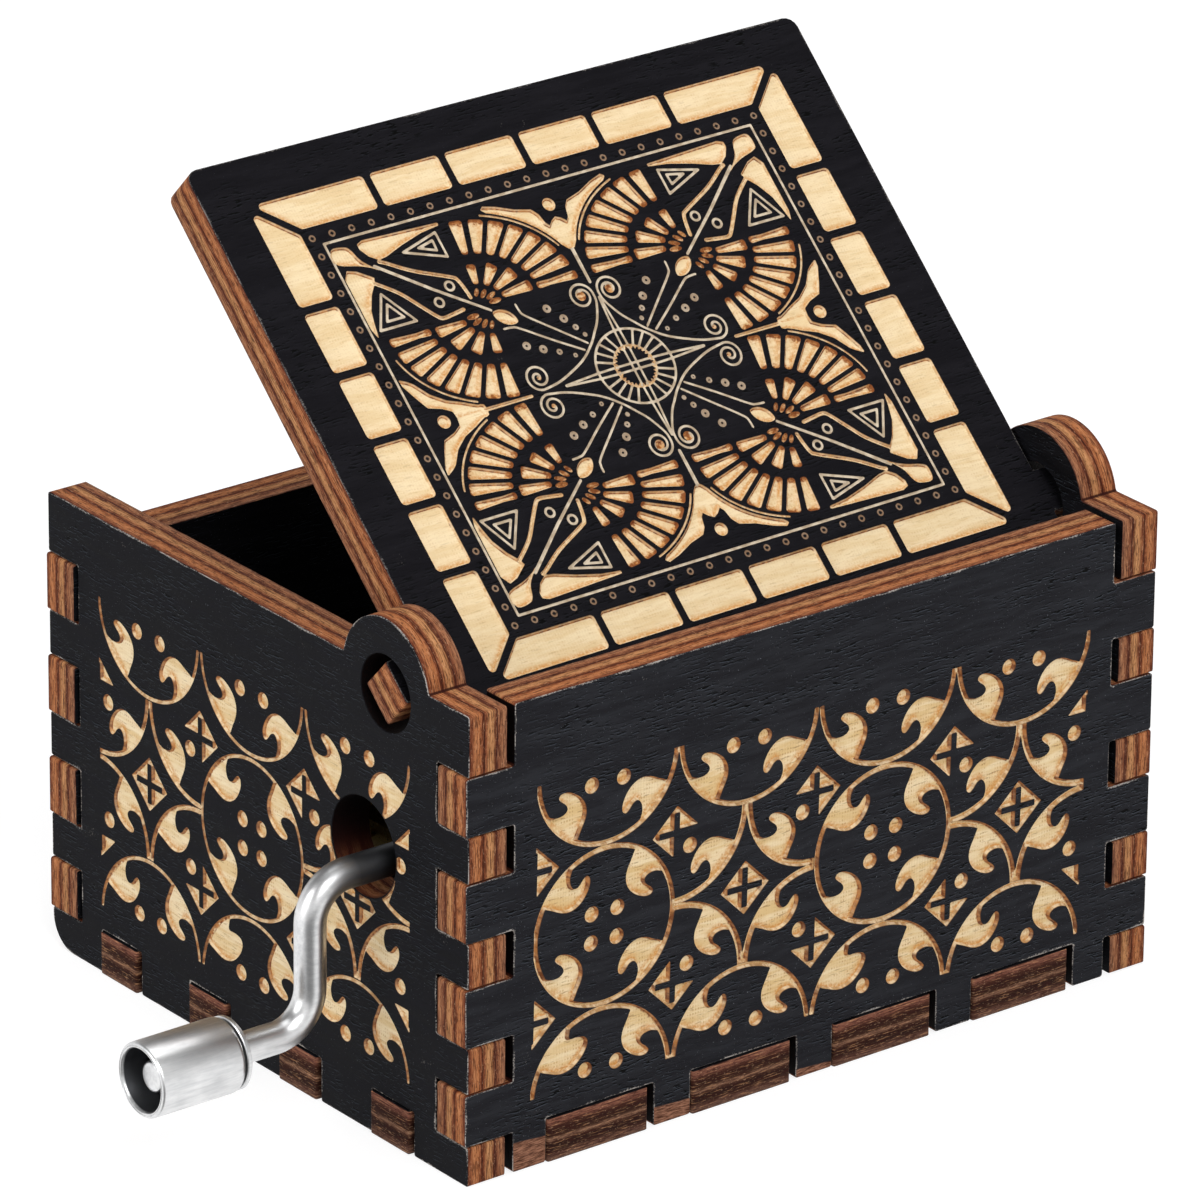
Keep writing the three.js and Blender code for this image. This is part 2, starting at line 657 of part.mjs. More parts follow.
// Snap ring, open upwards, in Y and Z
function retainingRing() {
  const outer = RING_DIAMETER / 2;
  const inner = SHAFT_DIAMETER / 2 + SEAT_GAP;
  const half = THREE.MathUtils.degToRad(RING_MOUTH_DEGREES) / 2;
  const from = Math.PI / 2 + half;
  const to = 2.5 * Math.PI - half;
  const shape = new THREE.Shape();
  shape.absarc(shaftY, shaftZ, outer, from, to);
  shape.absarc(shaftY, shaftZ, inner, to, from, true);
  return raiseAlongX(shape, ringInnerX, RING_WIDTH);
}

// Drum gear, in X and Z, with a gap between two teeth straight above its axis
function drumGear() {
  const tip = gearPitchRadius + TOOTH_ABOVE_PITCH;
  const root = gearPitchRadius - TOOTH_BELOW_PITCH;
  const step = (2 * Math.PI) / GEAR_TEETH;
  const rootHalf = TOOTH_ROOT_WIDTH / gearPitchRadius / 2;
  const tipHalf = TOOTH_CREST_WIDTH / gearPitchRadius / 2;
  const corners = [];
  for (let tooth = 0; tooth < GEAR_TEETH; tooth += 1) {
    const middle = Math.PI / 2 + (tooth + 1 / 2) * step;
    corners.push([root, middle - rootHalf], [tip, middle - tipHalf]);
    corners.push([tip, middle + tipHalf], [root, middle + rootHalf]);
  }
  const outline = corners.map(
    ([radius, angle]) =>
      new THREE.Vector2(drumX + radius * Math.cos(angle), drumZ + radius * Math.sin(angle)),
  );
  const rearY = shaftY - GEAR_WIDTH / 2;
  const disc = raiseAlongY(new THREE.Shape(outline), rearY, GEAR_WIDTH);
  const hub = barY(2 * GEAR_HUB_RADIUS, shaftY, drumRearY, drumX, drumZ);
  const bore = ARBOR_DIAMETER + 2 * SEAT_GAP;
  const boreTool = barY(bore, rearY - CUT_OVERRUN, drumRearY + CUT_OVERRUN, drumX, drumZ);
  return cut(join(disc, hub), boreTool);
}

// Pinned drum: a plain run of rising and falling notes with a low note under every fourth
function drumPins() {
  const notes = [];
  for (let step = 0; step < PIN_STEPS; step += 1) {
    const swing = Math.sin((2 * Math.PI * 3 * step) / PIN_STEPS);
    const middle = (COMB_TEETH - 1) / 2;
    notes.push({ step, tooth: Math.round(middle + (swing * middle * 3) / 4) });
    if (step % 4 === 0) notes.push({ step, tooth: (step / 4) % 4 });
    if (step % 3 === 1) notes.push({ step, tooth: COMB_TEETH - 1 - (step % 5) });
  }
  return notes;
}

function pinnedDrum() {
  let solid = solidOf(barY(2 * DRUM_RADIUS, 0, drumLength, 0, 0, FINE_FACETS + SMALL_FACETS));
  for (const { step, tooth } of drumPins()) {
    const height = PIN_HEIGHT + PIN_ROOT;
    const pin = new THREE.BoxGeometry(PIN_WIDTH, PIN_WIDTH, height);
    pin.translate(0, 0, DRUM_RADIUS - PIN_ROOT + height / 2);
    pin.rotateY((2 * Math.PI * step) / PIN_STEPS);
    pin.translate(0, DRUM_MARGIN + (tooth + 1 / 2) * combPitch, 0);
    solid = solid.add(solidOf(pin));
  }
  const bore = ARBOR_DIAMETER + 2 * SEAT_GAP;
  const tool = barY(bore, -CUT_OVERRUN, drumLength + CUT_OVERRUN, 0, 0);
  return geometryOf(solid.subtract(solidOf(tool))).translate(drumX, drumRearY, drumZ);
}

// Comb, in X and Y: a heel and eighteen teeth, longest at the low end
const combScrews = [
  { name: 'comb_screw_rear', y: combRearY + COMB_SCREW_INSET },
  { name: 'comb_screw_front', y: combRearY + combWidth - COMB_SCREW_INSET },
];
const combScrewX = combHeelX - COMB_HEEL / 2;

function combShape() {
  const shape = new THREE.Shape();
  shape.moveTo(combHeelX, combRearY);
  shape.lineTo(combHeelX, combRearY + combWidth);
  for (let tooth = COMB_TEETH - 1; tooth >= 0; tooth -= 1) {
    const low = combRearY + tooth * combPitch + (tooth === 0 ? 0 : COMB_SLOT / 2);
    const last = tooth === COMB_TEETH - 1;
    const high = combRearY + (tooth + 1) * combPitch - (last ? 0 : COMB_SLOT / 2);
    const upTheScale = Math.max(tooth - 1, 0) / (COMB_TEETH - 2);
    const length = longestTooth * THREE.MathUtils.lerp(1, SHORTEST_TOOTH_SHARE, upTheScale);
    shape.lineTo(combTipX, high);
    shape.lineTo(combTipX, low);
    if (tooth > 0) {
      shape.lineTo(combTipX + length, low);
      shape.lineTo(combTipX + length, low - COMB_SLOT);
    }
  }
  for (const { y } of combScrews) {
    shape.holes.push(roundHole(combScrewX, y, COMB_SCREW_SHANK + 2 * SEAT_GAP));
  }
  return shape;
}

const combUnderZ = drumZ - COMB_THICKNESS / 2;

function comb() {
  return raiseAlongZ(combShape(), combUnderZ, COMB_THICKNESS);
}

// Brackets: an upright with a bearing bore and a foot screwed to the bedplate.
// The outline is centred on the bore, and the foot runs to one side of the upright.
function uprightShape(centre, boreZ, halfWidth, bore) {
  const shape = new THREE.Shape();
  shape.moveTo(centre - halfWidth, bedTopZ);
  shape.lineTo(centre + halfWidth, bedTopZ);
  shape.absarc(centre, boreZ, halfWidth, 0, Math.PI);
  shape.holes.push(roundHole(centre, boreZ, bore + 2 * RUN_GAP));
  return shape;
}

const footTopZ = bedTopZ + BRACKET_FOOT_THICKNESS;

function wormBracket(atX, footSide) {
  const half = WORM_BRACKET_HALF_WIDTH;
  const shape = uprightShape(shaftY, shaftZ, half, SHAFT_DIAMETER);
  const upright = raiseAlongX(shape, atX, WORM_BRACKET_THICKNESS);
  const fromX = footSide > 0 ? atX : atX - BRACKET_FOOT_LENGTH;
  const toX = fromX + BRACKET_FOOT_LENGTH + WORM_BRACKET_THICKNESS;
  const foot = block(fromX, toX, shaftY - half, shaftY + half, bedTopZ, footTopZ);
  const screw = wormBracketScrewPlace(atX, footSide);
  return cut(join(upright, foot), screwHole(screw, BRACKET_SCREW_SHANK));
}

function drumBracket(atY, footSide) {
  const half = DRUM_BRACKET_HALF_WIDTH;
  const shape = uprightShape(drumX, drumZ, half, ARBOR_DIAMETER);
  const upright = raiseAlongY(shape, atY, DRUM_BRACKET_THICKNESS);
  const fromY = footSide > 0 ? atY : atY - BRACKET_FOOT_LENGTH;
  const toY = fromY + BRACKET_FOOT_LENGTH + DRUM_BRACKET_THICKNESS;
  const foot = block(drumX - half, drumX + half, fromY, toY, bedTopZ, footTopZ);
  const screw = drumBracketScrewPlace(atY, footSide);
  return cut(join(upright, foot), screwHole(screw, BRACKET_SCREW_SHANK));
}

function wormBracketScrewPlace(atX, footSide) {
  const face = footSide > 0 ? atX + WORM_BRACKET_THICKNESS : atX;
  return { x: face + (footSide * BRACKET_FOOT_LENGTH) / 2, y: shaftY };
}

function drumBracketScrewPlace(atY, footSide) {
  const face = footSide > 0 ? atY + DRUM_BRACKET_THICKNESS : atY;
  return { x: drumX, y: face + (footSide * BRACKET_FOOT_LENGTH) / 2 };
}

function screwHole({ x, y }, shank) {
  return barZ(shank + 2 * SEAT_GAP, PLY - CUT_OVERRUN, footTopZ + CUT_OVERRUN, x, y);
}

const bracketScrews = [
  { name: 'worm_bracket_screw_outer', ...wormBracketScrewPlace(outerBracketX, -1) },
  { name: 'worm_bracket_screw_inner', ...wormBracketScrewPlace(innerBracketX, 1) },
  { name: 'drum_bearing_screw_rear', ...drumBracketScrewPlace(rearBearingY, -1) },
  { name: 'drum_bearing_screw_front', ...drumBracketScrewPlace(frontBearingY, 1) },
];

// Bedplate: a cast plate with a raised seat for the comb
function bedplateBody() {
  const { left, right, rear, front } = bedplate;
  const outline = roundedRectangle(left, right, rear, front, BEDPLATE_CORNER);
  const plate = raiseAlongZ(outline, PLY, BEDPLATE_THICKNESS, CORNER_FACETS);
  const seatX = combTipX + longestTooth + COMB_SEAT_SETBACK;
  const seatY = combRearY + combWidth;
  const seat = block(seatX, combHeelX, combRearY, seatY, bedTopZ - CUT_OVERRUN, combUnderZ);
  const tools = [
    ...bracketScrews.map((place) => screwHole(place, BRACKET_SCREW_SHANK)),
    ...fixingScrews.map((place) => screwHole(place, FIXING_SCREW_SHANK)),
    ...combScrews.map(({ y }) =>
      barZ(
        COMB_SCREW_SHANK + 2 * SEAT_GAP,
        combUnderZ + COMB_THICKNESS - COMB_SCREW_LENGTH - SEAT_GAP,
        combUnderZ + CUT_OVERRUN,
        combScrewX,
        y,
      ),
    ),
  ];
  return cut(join(plate, seat), ...tools);
}

// Assembly
const musicBox = new THREE.Group();

function add(name, geometry, material, parent = musicBox) {
  const mesh = new THREE.Mesh(geometry, material);
  mesh.name = name;
  parent.add(mesh);
  return mesh;
}

add('base_panel', basePanel(), baseWood);
add('rear_panel', raiseAlongY(longPanelShape(WALL_HEIGHT), -longFaceY, PLY), blackPly);
add('front_panel', raiseAlongY(longPanelShape(frontHeight), insideY, PLY), blackPly);
add('plain_end_panel', raiseAlongX(endPanelShape(), insideX, PLY, FINE_FACETS), blackPly);
const crankEnd = endPanelShape();
const crankHoleY = shaftY + CRANK_HOLE_ASIDE;
const crankHoleZ = shaftZ + CRANK_HOLE_ABOVE;
crankEnd.holes.push(roundHole(crankHoleY, crankHoleZ, CRANK_HOLE_DIAMETER));
add('crank_end_panel', raiseAlongX(crankEnd, -endFaceX, PLY, FINE_FACETS), blackPly);

const lid = new THREE.Group();
lid.position.set(0, pivotY, pivotZ);
lid.rotation.x = THREE.MathUtils.degToRad(LID_OPEN_DEGREES);
musicBox.add(lid);
add('lid_panel', raiseAlongZ(lidShape(), -PLY / 2, PLY, CORNER_FACETS), blackPly, lid);

add('bedplate', bedplateBody(), castZinc);
add('comb', comb(), springSteel);
add('pinned_drum', pinnedDrum(), brass);
const arborFromY = rearBearingY - ARBOR_END;
const arborToY = frontBearingY + DRUM_BRACKET_THICKNESS + ARBOR_END;
add('drum_arbor', barY(ARBOR_DIAMETER, arborFromY, arborToY, drumX, drumZ), springSteel);
add('drum_gear', drumGear(), whiteGear);
add('drum_bearing_rear', drumBracket(rearBearingY, -1), satinSteel);
add('drum_bearing_front', drumBracket(frontBearingY, 1), satinSteel);
add('worm', worm(), brass);
add('worm_shaft', wormShaft(), springSteel);
add('worm_bracket_outer', wormBracket(outerBracketX, -1), satinSteel);
add('worm_bracket_inner', wormBracket(innerBracketX, 1), satinSteel);
add('worm_retaining_ring', retainingRing(), springSteel);

for (const { name, x, y } of bracketScrews) {
  const screw = slottedScrew(
    BRACKET_SCREW_HEAD,
    BRACKET_SCREW_HEAD_HEIGHT,
    BRACKET_SCREW_SHANK,
    BRACKET_SCREW_LENGTH,
  );
  add(name, screw, satinSteel).position.set(x, y, footTopZ);
}

for (const { name, y } of combScrews) {
  const screw = slottedScrew(
    COMB_SCREW_HEAD,
    COMB_SCREW_HEAD_HEIGHT,
    COMB_SCREW_SHANK,
    COMB_SCREW_LENGTH,
  );
  add(name, screw, satinSteel).position.set(combScrewX, y, combUnderZ + COMB_THICKNESS);
}

for (const { name, x, y } of fixingScrews) {
  const screw = slottedScrew(
    FIXING_SCREW_HEAD,
    FIXING_SCREW_HEAD_HEIGHT,
    FIXING_SCREW_SHANK,
    FIXING_SCREW_LENGTH,
  );
  add(name, screw.rotateX(Math.PI), satinSteel).position.set(x, y, fixingSeatZ);
}

add('crank_arm', crankArm(), satinSteel);
add('knob_collar', ringOnHandle(COLLAR_DIAMETER, collarOuterX, collarInnerX), satinSteel);
add('knob', knob(), satinSteel);
const washerInnerX = recessFloorX - RUN_GAP;
const washerOuterX = washerInnerX - WASHER_THICKNESS;
add('knob_washer', ringOnHandle(WASHER_DIAMETER, washerOuterX, washerInnerX), satinSteel);

export default musicBox;
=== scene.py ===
"""Hand crank music box: a finger-jointed plywood box, stained black and engraved by laser, with a
lid that turns on wooden tenons, a comb movement inside and a bent wire crank with a turned knob.

The frame gives every size and place in metres. Sizes here are in millimetres unless they say so.
"""

import json
import math

import bmesh
import bpy
import numpy as np
from mathutils import Matrix, Vector
from mathutils.geometry import delaunay_2d_cdt


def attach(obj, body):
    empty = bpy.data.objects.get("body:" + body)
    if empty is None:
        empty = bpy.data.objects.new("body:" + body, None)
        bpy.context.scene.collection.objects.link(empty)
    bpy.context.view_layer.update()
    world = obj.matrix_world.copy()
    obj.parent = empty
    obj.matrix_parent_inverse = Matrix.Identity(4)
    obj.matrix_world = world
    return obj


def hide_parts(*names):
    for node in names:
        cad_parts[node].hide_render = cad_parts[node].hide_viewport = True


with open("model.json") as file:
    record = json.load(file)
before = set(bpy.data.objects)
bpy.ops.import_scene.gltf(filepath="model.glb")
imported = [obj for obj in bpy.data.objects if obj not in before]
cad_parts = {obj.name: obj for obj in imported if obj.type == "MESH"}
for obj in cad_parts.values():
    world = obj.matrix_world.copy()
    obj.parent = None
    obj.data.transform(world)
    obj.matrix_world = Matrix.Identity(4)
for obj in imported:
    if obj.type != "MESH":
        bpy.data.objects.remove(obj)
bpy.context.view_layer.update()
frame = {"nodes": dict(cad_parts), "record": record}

MM = 0.001

# Camera. It looks at the crank end and the rear long side from a little above, with a long lens.
CAMERA_AZIMUTH, CAMERA_ELEVATION, CAMERA_ROLL = (math.radians(v) for v in (-37.90, 23.11, 0.53))
CAMERA_DISTANCE = 795.7
CAMERA_TARGET = Vector((15.02, 19.48, 18.50))
FOCAL_LENGTH_PIXELS = 10317.6
PHOTO_PIXELS = 1200
SENSOR_WIDTH = 36

side = math.cos(CAMERA_ELEVATION)
away = Vector((
    math.sin(CAMERA_AZIMUTH) * side,
    -math.cos(CAMERA_AZIMUTH) * side,
    math.sin(CAMERA_ELEVATION),
))
level = Vector((math.cos(CAMERA_AZIMUTH), math.sin(CAMERA_AZIMUTH), 0))
turn = Matrix((level, away.cross(level), away)).transposed() @ Matrix.Rotation(CAMERA_ROLL, 3, "Z")
camera = bpy.data.objects.new("camera", bpy.data.cameras.new("camera"))
camera.data.sensor_width = SENSOR_WIDTH
camera.data.lens = FOCAL_LENGTH_PIXELS / PHOTO_PIXELS * SENSOR_WIDTH
camera.data.clip_start, camera.data.clip_end = 0.05, 20
camera.matrix_world = Matrix.Translation((CAMERA_TARGET + away * CAMERA_DISTANCE) * MM) @ turn.to_4x4()
bpy.context.scene.collection.objects.link(camera)
bpy.context.scene.camera = camera
bpy.context.scene.view_settings.view_transform = "Standard"

# Studio. A pale floor and world look white to the camera and in gloss, and the floor keeps the
# soft shadow. Broad lamps above and beside the box light it evenly, brightest on the lid, and
# gloss shows a grey card on the camera's side.
FLOOR_HALF = 3000
FLOOR_DROP = 0.02
CEILING_TONE = (0.2, 0.2, 0.2, 1)
WORLD_LEVEL = (0.36, 0.36, 0.37, 1)
CARD_WAY, CARD_LEVEL = (0.614, 0.789, 0), 0.22


def hex_colour(text):
    """A written colour such as 26262a as the linear colour that shaders take."""
    coded = [int(text[i:i + 2], 16) / 255 for i in (0, 2, 4)]
    return (*(c / 12.92 if c <= 0.04045 else ((c + 0.055) / 1.055) ** 2.4 for c in coded), 1.0)


class Nodes:
    """Builds a node tree. Each call adds a node, links the sockets it is given and sets the rest."""

    def __init__(self, tree):
        self.tree = tree

    def add(self, kind, inputs=(), **settings):
        """A node of a kind, with its inputs by name or in order, and its other settings."""
        node = self.tree.nodes.new(kind)
        for name, value in settings.items():
            setattr(node, name, value)
        pairs = inputs.items() if isinstance(inputs, dict) else enumerate(inputs)
        for key, value in pairs:
            if isinstance(value, bpy.types.NodeSocket):
                self.tree.links.new(value, node.inputs[key])
            else:
                node.inputs[key].default_value = value
        return node

    def group(self, tree, **inputs):
        """The outputs of a shared effect, given its inputs."""
        return self.add("ShaderNodeGroup", inputs, node_tree=tree).outputs

    def ends(self, **results):
        """Links results to the outputs of the shared effect that is being built."""
        self.add("NodeGroupOutput", results)

    def attribute(self, name):
        """A number that each point of the mesh keeps."""
        return self.add("ShaderNodeAttribute", attribute_name=name).outputs["Fac"]

    def math(self, operation, *values):
        """Arithmetic on numbers."""
        return self.add("ShaderNodeMath", values, operation=operation).outputs[0]

    def vector(self, operation, *values):
        """Arithmetic on vectors, whose dot product alone is a number."""
        outputs = self.add("ShaderNodeVectorMath", values, operation=operation).outputs
        return outputs["Value" if operation == "DOT_PRODUCT" else "Vector"]

    def mix(self, factor, first, second):
        """The first colour mixed with the second by a factor. Either may be a written colour."""
        node = self.add("ShaderNodeMix", data_type="RGBA")
        for key, value in (("Factor_Float", factor), ("A_Color", first), ("B_Color", second)):
            socket = next(s for s in node.inputs if s.identifier == key)
            if isinstance(value, bpy.types.NodeSocket):
                self.tree.links.new(value, socket)
            else:
                socket.default_value = hex_colour(value) if isinstance(value, str) else value
        return next(s for s in node.outputs if s.identifier == "Result_Color")

    def noise(self, vector, scale, detail=2.0, roughness=0.5):
        """Cloudy noise about one half."""
        inputs = {"Vector": vector, "Scale": scale, "Detail": detail, "Roughness": roughness}
        return self.add("ShaderNodeTexNoise", inputs).outputs[0]

    def remap(self, value, from_low, from_high, to_low=0.0, to_high=1.0):
        """A value carried smoothly from one range to another, and kept in it."""
        inputs = (value, from_low, from_high, to_low, to_high)
        node = self.add("ShaderNodeMapRange", inputs, interpolation_type="SMOOTHSTEP")
        return node.outputs[0]

    def scaled(self, vector, scale, turn=(0, 0, 0), shift=(0, 0, 0)):
        """Coordinates scaled, turned and shifted, so that a noise runs along the grain."""
        inputs = {"Vector": vector, "Scale": scale, "Rotation": turn, "Location": shift}
        return self.add("ShaderNodeMapping", inputs).outputs[0]

    def ramp(self, value, stops):
        """The colour that a value picks from stops of places and written colours."""
        node = self.add("ShaderNodeValToRGB", (value,))
        while len(node.color_ramp.elements) < len(stops):
            node.color_ramp.elements.new(0.5)
        for element, (place, tone) in zip(node.color_ramp.elements, stops):
            element.position = place
            element.color = hex_colour(tone)
        return node.outputs[0]

    def between(self, value, low, high, first, second):
        """From one colour to another, as a value goes from low to high."""
        return self.mix(self.remap(value, low, high), first, second)

    def tint(self, base, value, low, high, share, tone):
        """A base mixed with a tone by a share of how far a value is from low to high."""
        return self.mix(self.math("MULTIPLY", self.remap(value, low, high), share), base, tone)


def new_material(name):
    """An empty material with its node builder."""
    material = bpy.data.materials.new(name)
    material.use_nodes = True
    material.node_tree.nodes.clear()
    return material, Nodes(material.node_tree)


floor_mesh = bpy.data.meshes.new("floor")
corners = [(-1, -1), (1, -1), (1, 1), (-1, 1)]
floor_points = [(x * FLOOR_HALF * MM, y * FLOOR_HALF * MM, -FLOOR_DROP * MM) for x, y in corners]
floor_mesh.from_pydata(floor_points, [], [(0, 1, 2, 3)])
floor = bpy.data.objects.new("floor", floor_mesh)
bpy.context.scene.collection.objects.link(floor)

floor_material, n = new_material("pale_floor")
path = n.add("ShaderNodeLightPath").outputs
seen = n.math("MAXIMUM", path["Is Camera Ray"], path["Is Glossy Ray"])
seen = n.math("MAXIMUM", seen, path["Is Transmission Ray"])
plain = n.add("ShaderNodeBsdfDiffuse", {"Color": (0.8, 0.8, 0.8, 1)}).outputs[0]
faint = n.add("ShaderNodeBsdfDiffuse", {"Color": (0.35, 0.35, 0.35, 1)}).outputs[0]
glow = n.add("ShaderNodeEmission", {"Color": (1, 1, 1, 1), "Strength": 0.75}).outputs[0]
shown = n.add("ShaderNodeAddShader", (faint, glow)).outputs[0]
back = n.vector("MULTIPLY", n.add("ShaderNodeNewGeometry").outputs["Incoming"], (1, 1, 0))
facing_card = n.vector("DOT_PRODUCT", n.vector("NORMALIZE", back), CARD_WAY)
card = n.math("MULTIPLY", n.remap(facing_card, 0.72, 0.97), path["Is Glossy Ray"])
grey = n.add("ShaderNodeEmission", {"Color": (1, 1, 1, 1), "Strength": CARD_LEVEL}).outputs[0]
shown = n.add("ShaderNodeMixShader", (card, shown, grey)).outputs[0]
mixed = n.add("ShaderNodeMixShader", (seen, plain, shown)).outputs[0]
n.add("ShaderNodeOutputMaterial", {"Surface": mixed})
floor_mesh.materials.append(floor_material)

world = bpy.data.worlds.new("studio")
bpy.context.scene.world = world
world.use_nodes = True
world.node_tree.nodes.clear()
n = Nodes(world.node_tree)
path = n.add("ShaderNodeLightPath").outputs
direction = n.add("ShaderNodeTexCoord").outputs["Generated"]
height = n.add("ShaderNodeSeparateXYZ", (direction,)).outputs["Z"]
ceiling = n.mix(n.remap(height, 0.05, 0.75), (1, 1, 1, 1), CEILING_TONE)
gloss = n.math("MAXIMUM", path["Is Glossy Ray"], path["Is Transmission Ray"])
lit = n.mix(gloss, WORLD_LEVEL, ceiling)
seen = n.mix(path["Is Camera Ray"], lit, (1, 1, 1, 1))
sky = n.add("ShaderNodeBackground", {"Color": seen, "Strength": 1.0}).outputs[0]
n.add("ShaderNodeOutputWorld", {"Surface": sky})

for name, place, width, watts in (
    ("key", (-250, -900, 900), 700, 9.0),
    ("end_fill", (-1000, 100, 500), 600, 4.4),
    ("top_fill", (200, 100, 1200), 800, 4.0),
):
    lamp = bpy.data.objects.new(name, bpy.data.lights.new(name, "AREA"))
    lamp.data.size = width * MM
    lamp.data.energy = watts
    lamp.location = Vector(place) * MM
    lamp.rotation_euler = (-lamp.location).to_track_quat("-Z", "Y").to_euler()
    bpy.context.scene.collection.objects.link(lamp)


# Wall panels. Each is cut by laser from 3.4 mm plywood, stained black on both faces, with bare
# brown plies on its edges, and engraved on its outer face down to the pale wood.
PLY = 3.4
EDGE_WORN = 0.05
EDGE_RIM, HOLE_RIM = 0.3, 0.2
TAB_ROUND, TAB_BEND = 0.22, 140
SHARP_ANGLE = 35
POCKET_STEPS = ((0.0, 0.0), (0.035, 0.17), (0.08, 0.33), (0.15, 0.41), (0.30, 0.44), (0.60, 0.45))
LINE_SHARE = 0.3
LINE_SLACK = 0.006
RANK_STEP, RANKS = 7919, 10007
SMOKE_REACH = 0.9
LONG_SUNK, END_SUNK, LID_SUNK = 0.72, 0.5, 0.45
NOTCH, FOOT_SLOT = (0.3, 4.5), 4.0
WIDE_HOLE, WIDE_HOLE_CHAR_AND_SHADE = 6.0, ((0, 0.45, 0.8), (0.3, 0.85, 1.0))
INNER_CORNER, CORNER_CHAR_AND_SHADE = -0.16, 0.65


class Engraving:
    """A flat field of signed distance in mm, below zero where the laser has cut the surface away.

    Each added form takes the lesser of its own distance and the one already there, so forms join.
    Share is the nearest form's part of the full depth: one where the laser cleared the form, and
    less where it drew a line in a single pass. Smoke is how brown the form is, from zero to one.
    """

    OPEN = 1.0

    def __init__(self, low, high, step):
        self.step = step
        self.x = np.arange(low[0], high[0] + step / 2, step)
        self.y = np.arange(low[1], high[1] + step / 2, step)
        self.field = np.full((len(self.y), len(self.x)), self.OPEN)
        self.share = np.ones(self.field.shape)
        self.smoke = np.zeros(self.field.shape)
        self.drawn_share = 1.0
        self.drawn_smoke = 0.0

    def near(self, points, reach):
        """The slices of the field within reach of some points, and the coordinates there."""
        points = np.atleast_2d(points)
        low, high = points.min(0) - reach - self.OPEN, points.max(0) + reach + self.OPEN
        columns = slice(*np.searchsorted(self.x, (low[0], high[0])))
        rows = slice(*np.searchsorted(self.y, (low[1], high[1])))
        return (rows, columns), np.meshgrid(self.x[columns], self.y[rows])

    def join(self, where, distance, smoke=None):
        """Adds a form: its distances in a part of the field, and its smoke if not the one set."""
        nearer = distance < self.field[where]
        self.field[where] = np.where(nearer, distance, self.field[where])
        self.share[where] = np.where(nearer, self.drawn_share, self.share[where])
        smoke = self.drawn_smoke if smoke is None else smoke
        self.smoke[where] = np.where(nearer, smoke, self.smoke[where])

    def at(self, places):
        """The field, share, smoke and the field's slope at places, from the nearest grid point."""
        rows, columns = self.field.shape
        column = np.clip(np.rint((places[:, 0] - self.x[0]) / self.step).astype(int), 0, columns - 1)
        row = np.clip(np.rint((places[:, 1] - self.y[0]) / self.step).astype(int), 0, rows - 1)
        up, across = np.gradient(self.field, self.step)
        slope = np.stack([across[row, column], up[row, column]], 1)
        found = [values[row, column] for values in (self.field, self.share, self.smoke)]
        return *found, np.clip(slope, -1, 1)

    def disc(self, centre, radius, smoke=None):
        """A full round: the distance to its centre, less its radius."""
        where, (x, y) = self.near(centre, radius)
        self.join(where, np.hypot(x - centre[0], y - centre[1]) - radius, smoke)

    def ring(self, centre, radius, width, facing=None):
        """A round stroke. With facing, only its quarter or half on that side of the centre."""
        where, (x, y) = self.near(centre, radius + width)
        distance = np.abs(np.hypot(x - centre[0], y - centre[1]) - radius) - width / 2
        for along, sign, middle in zip((x, y), facing or (0, 0), centre):
            if sign:
                distance = np.maximum(distance, -sign * (along - middle))
        self.join(where, distance)

    def stroke(self, points, width, end_width=None, clear=0.0):
        """A line through points: the least distance to its straight pieces, less half its width.

        With clear, the surface is first made whole for that distance on either side of the line.
        """
        points = np.asarray(points, float)
        where, (x, y) = self.near(points, width)
        widths = np.linspace(width, width if end_width is None else end_width, len(points))
        distance = np.full(x.shape, np.inf)
        for start, end, w0, w1 in zip(points, points[1:], widths, widths[1:]):
            run = end - start
            share = ((x - start[0]) * run[0] + (y - start[1]) * run[1]) / (run @ run)
            share = np.clip(share, 0, 1)
            gap = np.hypot(x - start[0] - share * run[0], y - start[1] - share * run[1])
            distance = np.minimum(distance, gap - (w0 + (w1 - w0) * share) / 2)
        if clear:
            self.field[where] = np.maximum(self.field[where], clear - distance)
        self.join(where, distance)

    def shape(self, points, rounding=0.0, ends=None):
        """A closed outline: the distance to its sides, negative where a ray crosses an odd number.

        With ends, two points, smoke falls from one at either end over the length that it reaches,
        to no less than the smoke set for drawing.
        """
        points = np.asarray(points, float)
        where, (x, y) = self.near(points, rounding)
        smoke = None
        if ends is not None:
            (x0, y0), (x1, y1) = ends
            length = math.hypot(x1 - x0, y1 - y0)
            along = ((x - x0) * (x1 - x0) + (y - y0) * (y1 - y0)) / length
            smoke = np.clip(1 - np.minimum(along, length - along) / SMOKE_REACH, self.drawn_smoke, 1)
        self.join(where, outline_distance(x, y, points) - rounding, smoke)

    def keep(self, distance):
        """Leaves the surface whole wherever the given distance is above zero."""
        self.field = np.maximum(self.field, distance)

    def contour(self, level):
        """The line where the field crosses a level: its points, and pairs of them as edges.

        Each grid edge whose ends lie on either side of the level carries one point, by linear
        interpolation, and each grid cell joins the two points on its sides, or four in two pairs.
        Twice, points are then left out that lie nearly on the line between their two neighbours:
        those of higher rank than both, where a rank is a scattered number that each point gets.
        """
        field, above = self.field, self.field > level
        across, up = above[:, 1:] != above[:, :-1], above[1:] != above[:-1]

        def crossing(low, high):
            """How far along a grid edge the level lies, and never quite at its end."""
            return np.clip((level - low) / (high - low), 0.03, 0.97) * self.step

